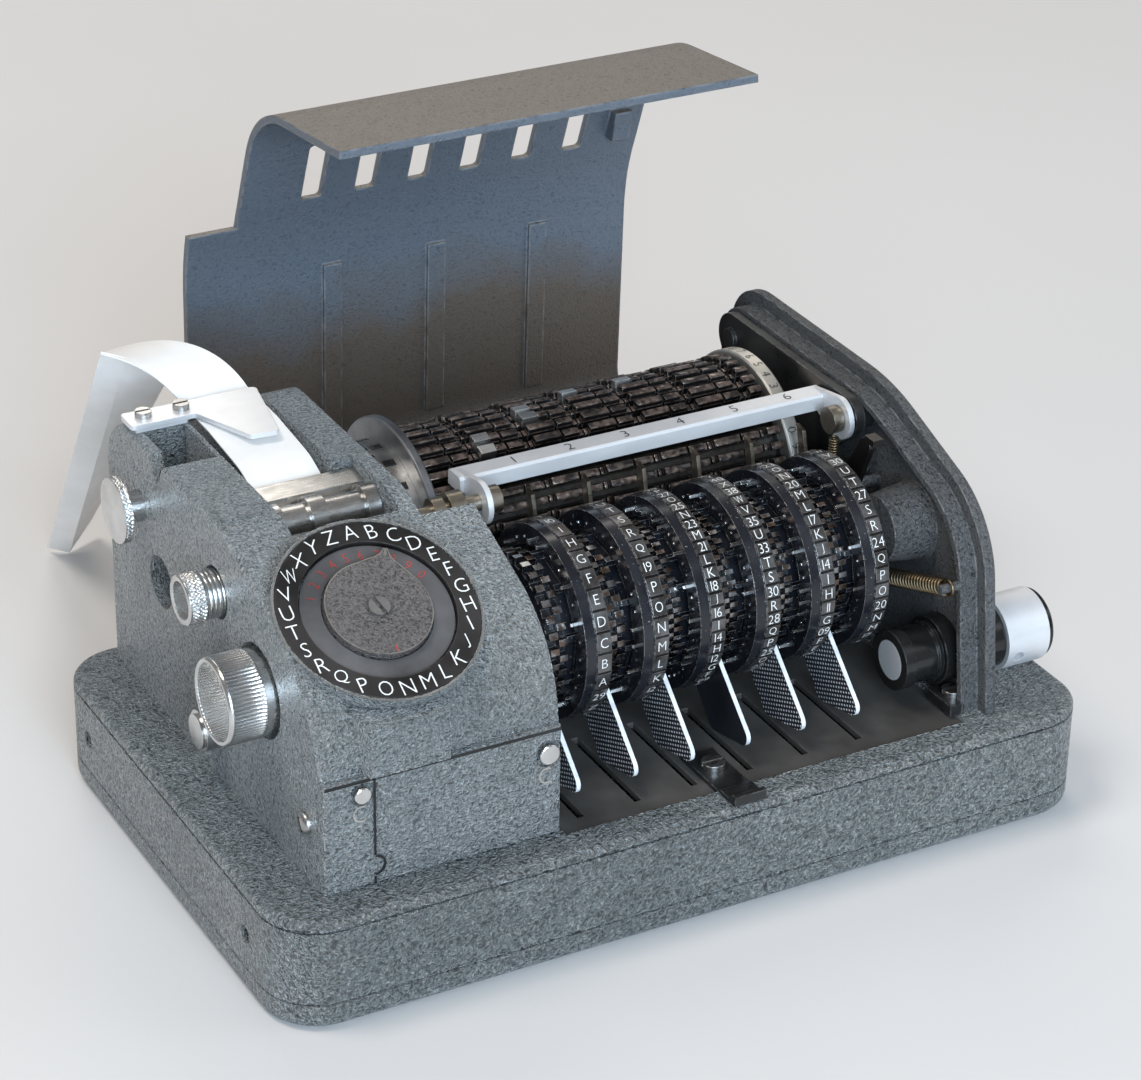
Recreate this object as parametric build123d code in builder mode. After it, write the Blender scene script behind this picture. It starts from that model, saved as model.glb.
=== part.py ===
from build123d import *
from math import cos, hypot, pi, radians, sin
import os

# Desktop rotor cipher machine: six pin wheels in front of a drum of slide bars, between a printing
# housing on the left and a side plate on the right, on a shallow tray, under a hinged lid.
# Millimetres.  +X runs to the right along the wheel axle, +Y to the back, +Z up.
# The origin is the centre of the tray's footprint, on the surface the machine stands on.

# ---------------------------------------------------------------- driving dimensions
TRAY_WIDTH = 216.0
TRAY_DEPTH = 134.7
TRAY_CORNER = 13.9
SEAM_Z = 7.2                      # joint between the tray's lower pan and its upper shell
TRAY_TOP = 28.6
TRAY_WALL = 2.4

WHEEL_COUNT = 6
WHEEL_PITCH = 15.15
FIRST_WHEEL_X = -14.4             # middle of the first wheel's label ring
WHEEL_Y = -16.7
WHEEL_Z = 59.2
WHEEL_RADIUS = 24.0
WHEEL_STEPS = (29, 31, 47, 43, 41, 37)
AXLE_RADIUS = 3.5

DRUM_Y = 33.5
DRUM_Z = 61.6
BAR_COUNT = 40
LUG_RADIUS = 25.6                 # tops of the lugs on the slide bars
DRUM_LEFT_X = -31.0               # inner faces of the two drum flanges
DRUM_RIGHT_X = 65.4

HOUSING_LEFT = -93.8
HOUSING_RIGHT = -34.7             # right face of the housing's front block
HOUSING_STEP_X = -48.0            # right face of the housing beside the drum
HOUSING_STEP_Y = -13.6
HOUSING_BACK = 63.4
HOUSING_TOP = 96.0

PLATE_INNER = 76.5                # left edge of the side plate's inner rim
PLATE_WEB = 79.8
LID_RIGHT = 81.1
PLATE_RIM = 81.3                  # where the side plate steps out to its full outline
PLATE_OUTER = 84.9

LID_THICKNESS = 2.0
HINGE_Y = 62.5
HINGE_Z = 31.9
LID_OPEN_ANGLE = 88.5             # how far the lid has swung back at rest
HINGE_PIN_RADIUS = 1.4

RUNNING_CLEARANCE = 0.05          # radial gap between a shaft and its bore

DIAL_CENTRE = (-69.7, -36.0, 85.1)
DIAL_TILT = 28.8                  # slope of the dial's face, rising to the back
DIAL_RADIUS = 24.2
POINTER_ANGLE = 61.5              # where the pointer's nose stands, from the dial's right
POINTER_SLOT_ANGLE = 105.0

LETTER_KNOB_Y = -24.5
LETTER_KNOB_Z = 64.4
MODE_KNOB_Y = -1.3
MODE_KNOB_Z = 78.0
FEED_KNOB_Y = 42.9
FEED_KNOB_Z = 79.5
LOCK_SCREW_Y = 0.0
LOCK_SCREW_Z = 42.0

PIVOT_Y = -2.0                    # axis the number bar swings on
PIVOT_Z = 85.6
CRANK_Y = -41.0
CRANK_Z = 39.2

# ---------------------------------------------------------------- outlines of lid, plate and housing
COVER_REAR = 65.0
COVER_TOP = 95.2
COVER_BREAK_Y = -6.0              # where the flat top starts to slope
COVER_BROW = (-52.3, 78.9)        # corner between the slope and the front
COVER_FRONT = -58.8
COVER_RADII = (14.0, 60.0, 27.0)

WHEEL_XS = [FIRST_WHEEL_X + WHEEL_PITCH * i for i in range(WHEEL_COUNT)]
GEAR_LEFT = 10.9                  # each wheel reaches this far left of its label ring's middle
LABEL_HALF = 1.9
SEPARATOR_OFFSET = 2.7            # middle of a separator plate, right of a label ring's middle
SEPARATOR_THICKNESS = 1.1
ARM_OFFSET = 5.2
ARM_THICKNESS = 1.0


def side_plane(x):
    """Plane across the machine at x, drawn in (y, z)."""
    return Plane(origin=(x, 0, 0), x_dir=(0, 1, 0), z_dir=(1, 0, 0))


def front_plane(y):
    """Plane facing the front at y, drawn in (x, z), whose normal points to the front."""
    return Plane(origin=(0, y, 0), x_dir=(1, 0, 0), z_dir=(0, -1, 0))


def lid_plane(x):
    """Plane across the open lid at x, drawn in the closed lid's (y, z) measured from the hinge."""
    c, s = cos(radians(LID_OPEN_ANGLE)), sin(radians(LID_OPEN_ANGLE))
    return Plane(origin=(x, HINGE_Y, HINGE_Z), x_dir=(0, c, -s), z_dir=(1, 0, 0))


def lid_top_plane(z):
    """Plane parallel to the lid's top, drawn in x and the closed lid's y, at its closed height z."""
    c, s = cos(radians(LID_OPEN_ANGLE)), sin(radians(LID_OPEN_ANGLE))
    rise = z - HINGE_Z
    return Plane(origin=(0, HINGE_Y + rise * s - HINGE_Y * c, HINGE_Z + rise * c + HINGE_Y * s),
                 x_dir=(1, 0, 0), z_dir=(0, s, c))


def dial_plane(height):
    """Plane of the dial's face, raised by height along its own normal."""
    c, s = cos(radians(DIAL_TILT)), sin(radians(DIAL_TILT))
    x, y, z = DIAL_CENTRE
    return Plane(origin=(x, y - s * height, z + c * height), x_dir=(1, 0, 0), z_dir=(0, -s, c))


def disc(x, y, z, radius, length):
    """Add a cylinder along X from x, inside a BuildPart."""
    with BuildSketch(side_plane(x)) as section:
        with Locations((y, z)):
            Circle(radius)
    extrude(section.sketch, amount=length)


def bore(x, y, z, radius, length):
    """Cut a cylinder along X from x, inside a BuildPart."""
    with BuildSketch(side_plane(x)) as section:
        with Locations((y, z)):
            Circle(radius)
    extrude(section.sketch, amount=length, mode=Mode.SUBTRACT)


def toothed_points(root, tip, count, share, phase=0.0):
    """Corners of a disc with square teeth, each covering share of its step."""
    step = 2 * pi / count
    half = step * share / 2
    points = []
    for i in range(count):
        middle = phase + i * step
        for radius, angle in ((root, -half), (tip, -half), (tip, half), (root, half)):
            points.append((radius * cos(middle + angle), radius * sin(middle + angle)))
    return points


def toothed_disc(x, y, z, length, points):
    """Add a toothed disc along X from x, inside a BuildPart."""
    with BuildSketch(side_plane(x)) as section:
        with Locations((y, z)):
            Polygon(*points, align=None)
    extrude(section.sketch, amount=length)


def cover_corners(low):
    """Corner points of the closed lid's outer outline, from the rear foot to the front foot."""
    lean = (COVER_BROW[0] - COVER_FRONT) / (COVER_BROW[1] - TRAY_TOP)
    return [(COVER_REAR, low), (COVER_REAR, COVER_TOP), (COVER_BREAK_Y, COVER_TOP), COVER_BROW,
            (COVER_FRONT + lean * (low - TRAY_TOP), low)]


def cover_face(inset, low):
    """Sketch the area inside the cover's outline, drawn in by inset, inside a BuildSketch."""
    with BuildLine() as outline:
        corners = cover_corners(low)
        FilletPolyline(*corners, radius=COVER_RADII)
        Line(corners[-1], corners[0])
    make_face(outline.edges())
    if inset:
        offset(amount=-inset, mode=Mode.REPLACE)


def save(builder, name):
    builder.part.label = name
    export_step(builder.part, "parts/" + name + ".step")


# ---------------------------------------------------------------- tray
def tray_lower_pan():
    with BuildPart() as pan:
        with BuildSketch(Plane.XY):
            RectangleRounded(TRAY_WIDTH, TRAY_DEPTH, TRAY_CORNER)
        extrude(amount=SEAM_Z - 0.3)
        fillet(pan.faces().sort_by(Axis.Z)[0].edges(), 3.4)
        with BuildSketch(Plane.XY.offset(TRAY_WALL)):
            RectangleRounded(TRAY_WIDTH - 2 * TRAY_WALL, TRAY_DEPTH - 2 * TRAY_WALL,
                             TRAY_CORNER - TRAY_WALL)
        extrude(amount=SEAM_Z, mode=Mode.SUBTRACT)
    save(pan, "tray_lower_pan")


FLOOR_LEFT = -34.0
FLOOR_RIGHT = 75.5
FLOOR_FRONT = -59.0
FLOOR_BACK = 58.0
FLOOR_THICKNESS = 1.6
FLOOR_TOP = TRAY_TOP - 0.8
SLOT_WIDTH = 1.9
SLOT_FRONT = -53.0
SLOT_BACK = -22.0


def tray_upper_shell():
    low = SEAM_Z
    with BuildPart() as shell:
        with BuildSketch(Plane.XY.offset(low)):
            RectangleRounded(TRAY_WIDTH, TRAY_DEPTH, TRAY_CORNER)
        extrude(amount=TRAY_TOP - low)
        fillet(shell.faces().sort_by(Axis.Z)[-1].edges(), 1.9)
        with BuildSketch(Plane.XY.offset(low)):
            RectangleRounded(TRAY_WIDTH - 2 * TRAY_WALL, TRAY_DEPTH - 2 * TRAY_WALL,
                             TRAY_CORNER - TRAY_WALL)
        extrude(amount=TRAY_TOP - 4.6 - low, mode=Mode.SUBTRACT)
        # groove below the rolled rim
        with BuildSketch(Plane.XY.offset(TRAY_TOP - 2.7)):
            RectangleRounded(TRAY_WIDTH + 2, TRAY_DEPTH + 2, TRAY_CORNER + 1)
            RectangleRounded(TRAY_WIDTH - 0.9, TRAY_DEPTH - 0.9, TRAY_CORNER - 0.45, mode=Mode.SUBTRACT)
        extrude(amount=0.6, mode=Mode.SUBTRACT)
        # seat of the floor plate, and the well below its slots
        with BuildSketch(Plane.XY.offset(TRAY_TOP)):
            with Locations(((FLOOR_LEFT + FLOOR_RIGHT) / 2, (FLOOR_FRONT + FLOOR_BACK) / 2)):
                Rectangle(FLOOR_RIGHT - FLOOR_LEFT, FLOOR_BACK - FLOOR_FRONT)
        extrude(amount=-(TRAY_TOP - FLOOR_TOP + FLOOR_THICKNESS), mode=Mode.SUBTRACT)
        with BuildSketch(Plane.XY.offset(TRAY_TOP)):
            with Locations((22.0, (SLOT_FRONT + SLOT_BACK) / 2)):
                Rectangle(102.0, SLOT_BACK - SLOT_FRONT + 4)
        extrude(amount=-10, mode=Mode.SUBTRACT)
        # two sight holes in the left side
        for y in (-45.5, 47.9):
            bore(-TRAY_WIDTH / 2 - 1, y, 16.2, 2.2, 6)
    save(shell, "tray_upper_shell")


def slot_x(i):
    """Middle of separator plate i, and of its slot in the floor."""
    return FIRST_WHEEL_X + WHEEL_PITCH * (i - 1) + SEPARATOR_OFFSET


def floor_plate():
    with BuildPart() as floor:
        with BuildSketch(Plane.XY.offset(FLOOR_TOP - FLOOR_THICKNESS)):
            with Locations(((FLOOR_LEFT + FLOOR_RIGHT) / 2, (FLOOR_FRONT + FLOOR_BACK) / 2)):
                Rectangle(FLOOR_RIGHT - FLOOR_LEFT - 0.2, FLOOR_BACK - FLOOR_FRONT - 0.2)
            for i in range(WHEEL_COUNT):
                with Locations((slot_x(i), (SLOT_FRONT + SLOT_BACK) / 2)):
                    Rectangle(SLOT_WIDTH, SLOT_BACK - SLOT_FRONT, mode=Mode.SUBTRACT)
        extrude(amount=FLOOR_THICKNESS)
    save(floor, "floor_plate")


LATCH_X = 10.4
LATCH_WIDTH = 8.6
SCREW_HEAD = 1.5
SCREW_SHANK = 1.25


def latch_strip():
    """Sprung strip that holds the closed lid's front edge by its upturned lip."""
    with BuildPart() as latch:
        with BuildSketch(side_plane(LATCH_X - LATCH_WIDTH / 2)):
            with BuildLine():
                Polyline((-42.0, FLOOR_TOP), (-58.0, FLOOR_TOP), (-58.9, TRAY_TOP), (-66.8, TRAY_TOP),
                         (-66.8, TRAY_TOP + 2.6), (-65.4, TRAY_TOP + 2.6), (-63.6, TRAY_TOP + 1.1),
                         (-59.9, TRAY_TOP + 1.1), (-59.2, FLOOR_TOP + 1.2), (-42.0, FLOOR_TOP + 1.2),
                         close=True)
            make_face()
        extrude(amount=LATCH_WIDTH)
        with BuildSketch(Plane.XY.offset(FLOOR_TOP - 1)):
            with Locations((LATCH_X, -49.5)):
                Circle(SCREW_SHANK + RUNNING_CLEARANCE)
        extrude(amount=4, mode=Mode.SUBTRACT)
    save(latch, "latch_strip")


# ---------------------------------------------------------------- fasteners
FOOT_SCREW_X = 77.0
FOOT_SCREW_Y = -50.3
SCREW_PLACES = (
    # x, y, height of the surface the head sits on, head radius
    (LATCH_X, -49.5, FLOOR_TOP + 1.2, 2.9),
    (FOOT_SCREW_X, FOOT_SCREW_Y, TRAY_TOP + 2.8, 2.6),
    (-89.0, 50.6, HOUSING_TOP + 2.4, 2.0),
    (-79.4, 50.6, HOUSING_TOP + 2.4, 2.0),
)


def slotted_screws():
    """Cheese-head screws of the latch, the side plate's foot and the tape guide."""
    with BuildPart() as screws:
        for x, y, z, head in SCREW_PLACES:
            with BuildSketch(Plane.XY.offset(z)):
                with Locations((x, y)):
                    Circle(head)
            extrude(amount=SCREW_HEAD)
            with BuildSketch(Plane.XY.offset(z)):
                with Locations((x, y)):
                    Circle(SCREW_SHANK)
            extrude(amount=-1.0)
            with BuildSketch(Plane.XY.offset(z + SCREW_HEAD)):
                with Locations((x, y)):
                    Rectangle(2 * head + 1, 0.7)
            extrude(amount=-0.7, mode=Mode.SUBTRACT)
    save(screws, "slotted_screws")


# ---------------------------------------------------------------- lid
LID_LEFT_WIDE = HOUSING_STEP_X + 0.4
LID_LEFT = HOUSING_RIGHT + 0.4
LID_STEP_Y = HOUSING_STEP_Y + 0.6
LID_FOOT_Z = 35.0
LID_FRONT_Z = 29.4
WINDOW_BACK = -18.8
WINDOW_FRONT = -36.0
WINDOW_WIDTH = 5.8
RIB_XS = (-6.5, 23.8, 54.1)
RIB_WIDTH = 5.2
RIB_HEIGHT = 1.1
KNUCKLE_RADIUS = 2.9
KNUCKLES = ((-28.0, 14.0), (12.0, 14.0), (52.0, 14.0))


def lid():
    with BuildPart() as cover:
        with BuildSketch(lid_plane(LID_LEFT_WIDE)):
            with BuildLine(Plane.XY.offset(0)) as path:
                points = [(y - HINGE_Y, z - HINGE_Z) for y, z in cover_corners(LID_FRONT_Z)]
                points[0] = (COVER_REAR - HINGE_Y, LID_FOOT_Z - HINGE_Z)
                FilletPolyline(*points, radius=COVER_RADII)
                offset(amount=LID_THICKNESS, side=Side.LEFT)
            make_face()
        extrude(amount=LID_RIGHT - LID_LEFT_WIDE)
        # the front part is narrower, so it clears the housing's front block
        with BuildSketch(lid_plane(LID_LEFT_WIDE - 1)):
            with Locations((LID_STEP_Y - HINGE_Y - 60, 40)):
                Rectangle(120, 140)
        extrude(amount=LID_LEFT - LID_LEFT_WIDE + 1, mode=Mode.SUBTRACT)
        # windows over the wheels' labels
        with BuildSketch(lid_top_plane(COVER_TOP + 5)):
            for x in WHEEL_XS:
                with Locations((x, (WINDOW_BACK + WINDOW_FRONT) / 2)):
                    RectangleRounded(WINDOW_WIDTH, WINDOW_BACK - WINDOW_FRONT, 1.2)
        extrude(amount=-22, mode=Mode.SUBTRACT)
        # stiffening ribs inside the top
        inner_z = COVER_TOP - LID_THICKNESS
        with BuildSketch(lid_top_plane(inner_z + 0.3)):
            for x in RIB_XS:
                with Locations((x, (3.0 + 52.0) / 2)):
                    Rectangle(RIB_WIDTH, 49.0)
        extrude(amount=-(RIB_HEIGHT + 0.3))
        # catch block at the front right
        with BuildSketch(lid_plane(71.0)):
            with Locations((-HINGE_Y, -HINGE_Z)):
                Polygon((-21.0, 88.3), (-29.5, 85.3), (-29.5, 82.0), (-21.0, 83.6), align=None)
        extrude(amount=5.2)
        # knuckles on the hinge pin
        for x, length in KNUCKLES:
            with BuildSketch(lid_plane(x)):
                Circle(KNUCKLE_RADIUS)
                with Locations((1.7, 2.2)):
                    Rectangle(2.4, 4.0)
            extrude(amount=length)
            with BuildSketch(lid_plane(x - 1)):
                Circle(HINGE_PIN_RADIUS + RUNNING_CLEARANCE)
            extrude(amount=length + 2, mode=Mode.SUBTRACT)
    save(cover, "lid")


def lid_hinge():
    """Hinge pin and the lugs that carry it on the tray."""
    lugs = ((-33.0, 4.0), (-13.0, 24.0), (27.0, 24.0), (67.0, 8.5))
    with BuildPart() as hinge:
        for x, length in lugs:
            with BuildSketch(side_plane(x)):
                with Locations((HINGE_Y, HINGE_Z)):
                    Circle(2.5)
                with Locations((HINGE_Y, (TRAY_TOP + HINGE_Z) / 2)):
                    Rectangle(5.0, HINGE_Z - TRAY_TOP)
            extrude(amount=length)
        disc(-33.0, HINGE_Y, HINGE_Z, HINGE_PIN_RADIUS, 108.5)
    save(hinge, "lid_hinge")


# ---------------------------------------------------------------- side plate and what it carries
BOSS_Y = -25.6
BOSS_Z = 66.9
DETENT_Y = -8.5
DETENT_Z = 70.0
SPRING_POST = (-50.0, 61.3)
SPRING_END = (-14.0, 48.0)
SPRING_X = 73.9
BAR_SPRING_Y = -3.4
CRANK_BORE = 5.0


def right_side_plate():
    with BuildPart() as plate:
        with BuildSketch(side_plane(PLATE_RIM)):
            cover_face(0, TRAY_TOP)
        extrude(amount=PLATE_OUTER - PLATE_RIM)
        fillet(plate.faces().sort_by(Axis.X)[-1].edges().filter_by_position(
            Axis.Z, TRAY_TOP + 1, COVER_TOP + 5), 1.6)
        # the rim under the lid's edge, and the web inside it
        rim_inset = LID_THICKNESS + 1.5
        with BuildSketch(side_plane(PLATE_INNER)):
            cover_face(rim_inset, TRAY_TOP - 10)
            cover_face_inner = offset(amount=-1.6, mode=Mode.PRIVATE)
            add(cover_face_inner, mode=Mode.SUBTRACT)
        extrude(amount=PLATE_RIM - PLATE_INNER)
        with BuildSketch(side_plane(PLATE_WEB)):
            cover_face(rim_inset + 0.6, TRAY_TOP - 10)
        extrude(amount=PLATE_RIM - PLATE_WEB)
        # tapered boss and the wheel axle's bearing boss
        with BuildSketch(side_plane(PLATE_WEB)):
            with Locations((BOSS_Y, BOSS_Z)):
                Circle(9.9)
        extrude(amount=-11.0, taper=8)
        disc(71.0, WHEEL_Y, WHEEL_Z, 6.0, PLATE_WEB - 71.0)
        # posts of the detent lever and of the tension spring
        disc(70.2, DETENT_Y, DETENT_Z, 1.5, PLATE_WEB - 70.2)
        disc(71.4, SPRING_POST[0], SPRING_POST[1], 1.2, PLATE_WEB - 71.4)
        disc(71.4, SPRING_END[0], SPRING_END[1], 1.3, PLATE_WEB - 71.4)
        disc(69.0, BAR_SPRING_Y, 70.8, 1.2, PLATE_WEB - 69.0)
        bore(68.0, WHEEL_Y, WHEEL_Z, AXLE_RADIUS + RUNNING_CLEARANCE, PLATE_WEB - 68.0)
        bore(70.0, CRANK_Y, CRANK_Z, CRANK_BORE + RUNNING_CLEARANCE, 20.0)
        # everything stands on the tray
        with BuildSketch(Plane.XY.offset(TRAY_TOP)):
            Rectangle(400, 400)
        extrude(amount=-20, mode=Mode.SUBTRACT)
    save(plate, "right_side_plate")


ARM_LEFT = 73.6
ARM_RIGHT = 76.2


def drum_bearing_plate():
    """Inner plate that carries the drum's right bearing and the number bar's right pivot."""
    with BuildPart() as arm:
        with BuildSketch(side_plane(ARM_LEFT)):
            with Locations((52.1, 84.2)):
                Circle(6.4)
            with Locations((PIVOT_Y, PIVOT_Z)):
                Circle(5.2)
            with Locations((DRUM_Y, DRUM_Z)):
                Circle(8.5)
            make_hull()
        extrude(amount=ARM_RIGHT - ARM_LEFT)
        # spacers to the side plate's web
        disc(ARM_RIGHT, PIVOT_Y, PIVOT_Z, 3.8, PLATE_WEB - ARM_RIGHT)
        disc(ARM_RIGHT, 46.0, 84.2, 3.8, PLATE_WEB - ARM_RIGHT)
        disc(ARM_RIGHT, DRUM_Y, DRUM_Z, 6.5, PLATE_WEB - ARM_RIGHT)
        disc(72.6, 52.1, 84.2, 2.6, ARM_LEFT - 72.6)
        bore(ARM_LEFT - 1, DRUM_Y, DRUM_Z, 3.0 + RUNNING_CLEARANCE, 8)
        bore(ARM_LEFT - 1, PIVOT_Y, PIVOT_Z, 2.0, 8)
    save(arm, "drum_bearing_plate")


def foot_bracket():
    """Foot of the side plate, screwed down on the tray."""
    with BuildPart() as foot:
        with BuildSketch(side_plane(73.2)):
            with Locations((-50.4, TRAY_TOP + 1.4)):
                Rectangle(10.4, 2.8)
        extrude(amount=PLATE_INNER - 0.1 - 73.2)
        with BuildSketch(side_plane(PLATE_INNER - 0.1)):
            with Locations((-49.2, TRAY_TOP + 1.4)):
                Rectangle(8.0, 2.8)
        extrude(amount=PLATE_WEB - PLATE_INNER)
        with BuildSketch(Plane.XY.offset(TRAY_TOP)):
            with Locations((FOOT_SCREW_X, FOOT_SCREW_Y)):
                Circle(SCREW_SHANK + RUNNING_CLEARANCE)
        extrude(amount=4, mode=Mode.SUBTRACT)
    save(foot, "foot_bracket")


def cross_rods():
    """The pin wheels' axle, and the rod below it that carries the sensing arms."""
    with BuildPart() as rods:
        disc(HOUSING_RIGHT, WHEEL_Y, WHEEL_Z, AXLE_RADIUS, PLATE_WEB - HOUSING_RIGHT)
        disc(HOUSING_STEP_X, ROD_Y, ROD_Z, ROD_RADIUS, PLATE_WEB - HOUSING_STEP_X)
    save(rods, "cross_rods")


def pivot_pins():
    """Pins and brass bushes the number bar swings on, one at each end."""
    with BuildPart() as pins:
        disc(68.6, PIVOT_Y, PIVOT_Z, 3.4, 2.9)
        disc(71.5, PIVOT_Y, PIVOT_Z, 2.0, PLATE_WEB - 71.5)
        disc(HOUSING_STEP_X, PIVOT_Y, PIVOT_Z, 2.0, 25.6)
        disc(-25.8, PIVOT_Y, PIVOT_Z, 3.4, 3.4)
        disc(-40.0, PIVOT_Y, PIVOT_Z, 3.6, 3.0)
        disc(-36.0, PIVOT_Y, PIVOT_Z, 4.2, 4.0)
    save(pins, "pivot_pins")


def coil_springs():
    """The side plate's tension spring and the number bar's small spring, as their outer envelopes."""
    y0, z0 = SPRING_POST
    y1, z1 = SPRING_END
    length = hypot(y1 - y0, z1 - z0)
    along_y = (y1 - y0) / length
    along_z = (z1 - z0) / length
    with BuildPart() as springs:
        with BuildSketch(Plane(origin=(SPRING_X, y0 + along_y * 1.35, z0 + along_z * 1.35), x_dir=(1, 0, 0),
                               z_dir=(0, along_y, along_z))):
            Circle(2.3)
        extrude(amount=length - 2.7)
        with BuildSketch(Plane.XY.offset(72.0)):
            with Locations((69.9, BAR_SPRING_Y)):
                Circle(1.4)
        extrude(amount=9.6)
    save(springs, "coil_springs")


def detent_lever():
    """Hooked lever beside the last wheel."""
    with BuildPart() as lever:
        with BuildSketch(side_plane(70.6)):
            with Locations((-15.8, 84.4)):
                Circle(2.2)
            with Locations((DETENT_Y, DETENT_Z)):
                Circle(3.4)
            make_hull()
        extrude(amount=1.4)
        with BuildSketch(side_plane(70.6)):
            with Locations((DETENT_Y, DETENT_Z)):
                Circle(3.4)
            with Locations((-5.5, 60.0)):
                Circle(2.0)
            make_hull()
        extrude(amount=1.4)
        with BuildSketch(side_plane(70.6)):
            with Locations((-17.5, 86.4)):
                Rectangle(4.0, 1.6)
        extrude(amount=3.0)
        bore(70.0, DETENT_Y, DETENT_Z, 1.5 + RUNNING_CLEARANCE, 6)
    save(lever, "detent_lever")


# ---------------------------------------------------------------- number bar
BAR_FRONT = 5.0
BAR_BACK = 11.2
BAR_LOW = 84.9
BAR_HIGH = 88.9


def number_bar():
    with BuildPart() as bar:
        with BuildSketch(side_plane(-28.6)):
            with Locations(((BAR_FRONT + BAR_BACK) / 2, (BAR_LOW + BAR_HIGH) / 2)):
                Rectangle(BAR_BACK - BAR_FRONT, BAR_HIGH - BAR_LOW)
        extrude(amount=73.0 + 28.6)
        chamfer(bar.edges().filter_by(Axis.X).group_by(Axis.Z)[-1], 0.6)
        for x in (-27.4, 71.6):
            with BuildSketch(side_plane(x)):
                with Locations((PIVOT_Y, PIVOT_Z)):
                    Circle(5.4)
                with Locations((BAR_BACK - 1.6, BAR_HIGH - 1.6)):
                    Circle(1.6)
                with Locations((BAR_BACK - 1.6, BAR_LOW + 1.0)):
                    Circle(1.6)
                make_hull()
            extrude(amount=1.4)
            bore(x - 1, PIVOT_Y, PIVOT_Z, 2.0 + RUNNING_CLEARANCE, 4)
    save(bar, "number_bar")


# ---------------------------------------------------------------- pin wheels
LABEL_PHASES = (7.03, 5.1, 6.6, 4.5, 6.6, 5.03)      # degrees each wheel is turned on at rest


def facet_points(radius, count, phase):
    """Corners of a ring of count flat facets, the first one centred on the angle phase."""
    step = 2 * pi / count
    angles = [phase + step * (i + 0.5) for i in range(count)]
    return [(radius * cos(angle), radius * sin(angle)) for angle in angles]


def pin_wheel(index):
    """Wheel with two gear rings and pins on its left and a ring of label facets on its right."""
    x = WHEEL_XS[index]
    steps = WHEEL_STEPS[index]
    turn = 2 * pi / steps
    with BuildPart() as wheel:
        # label ring: one flat facet for each step
        labels = facet_points(WHEEL_RADIUS, steps, radians(LABEL_PHASES[index]))
        toothed_disc(x - LABEL_HALF, WHEEL_Y, WHEEL_Z, 2 * LABEL_HALF, labels)
        # wheel disc, dished on its left face
        disc(x - 4.6, WHEEL_Y, WHEEL_Z, WHEEL_RADIUS - 0.4, 4.6 - LABEL_HALF)
        bore(x - 4.6, WHEEL_Y, WHEEL_Z, 18.6, 1.4)
        # hub, then the set pins that stand in the dish
        disc(x - GEAR_LEFT, WHEEL_Y, WHEEL_Z, 8.0, GEAR_LEFT)
        pins = toothed_points(16.2, 18.1, steps // 3, 0.12, turn / 2)
        toothed_disc(x - 6.4, WHEEL_Y, WHEEL_Z, 3.2, pins)
        # two gear rings, half a tooth apart
        for left, phase in ((x - GEAR_LEFT, 0.0), (x - 8.6, turn / 2)):
            toothed_disc(left, WHEEL_Y, WHEEL_Z, 2.2, toothed_points(16.2, 18.2, steps, 0.42, phase))
        bore(x - GEAR_LEFT - 1, WHEEL_Y, WHEEL_Z, AXLE_RADIUS + RUNNING_CLEARANCE, 20)
    save(wheel, "pin_wheel_%d" % (index + 1))


SEPARATOR_TOE = (-49.3, 35.2)
SEPARATOR_HEEL = (-36.5, 32.4)


def separator(index):
    """Blade that hangs on the wheel axle and drops into its slot in the floor."""
    x = slot_x(index) - SEPARATOR_THICKNESS / 2
    with BuildPart() as blade:
        with BuildSketch(side_plane(x)):
            with Locations((WHEEL_Y, WHEEL_Z)):
                Circle(6.5)
            with Locations(SEPARATOR_TOE):
                Circle(2.4)
            with Locations(SEPARATOR_HEEL):
                Circle(2.4)
            make_hull()
        extrude(amount=SEPARATOR_THICKNESS)
        bore(x - 1, WHEEL_Y, WHEEL_Z, AXLE_RADIUS + RUNNING_CLEARANCE, 4)
    save(blade, "separator_%d" % (index + 1))


ROD_Y = 9.2
ROD_Z = 38.5
ROD_RADIUS = 1.8


def sensing_arm(index):
    """Curved arm between a wheel and the drum, on the rod below them."""
    x = WHEEL_XS[index] + ARM_OFFSET
    with BuildPart() as arm:
        with BuildSketch(side_plane(x)):
            with BuildLine():
                front = ThreePointArc((6.6, 38.5), (2.9, 59.0), (5.8, 79.6))
                tip = Line(front @ 1, (8.8, 80.4))
                back = ThreePointArc(tip @ 1, (6.6, 60.0), (11.8, 38.5))
                Line(back @ 1, front @ 0)
            make_face()
            with Locations((ROD_Y, ROD_Z)):
                Circle(3.4)
        extrude(amount=ARM_THICKNESS)
        bore(x - 1, ROD_Y, ROD_Z, ROD_RADIUS + RUNNING_CLEARANCE, 4)
    save(arm, "sensing_arm_%d" % (index + 1))


# ---------------------------------------------------------------- drum of slide bars
CORE_RADIUS = 19.6
BAR_TOP = 23.0
BAR_WIDTH = 2.5
SLEEVE_LEFT = -47.4
SLEEVE_RADIUS = 24.0
FLANGE_LEFT = DRUM_LEFT_X - 2.4
LONG_LUG = (0.0, 7.2)              # along a bar, from the middle of a wheel's label ring
SHORT_LUG = (7.9, 14.9)
BRIGHT_LUG = (0.1, 4.3)
BAR_PHASE = 6.7                    # degrees the first bar stands above +Y
BRIGHT_LUGS = ((11, 0), (12, 0), (9, 1), (10, 1), (8, 2), (8, 3), (26, 3), (20, 4), (2, 4), (33, 2))


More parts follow.
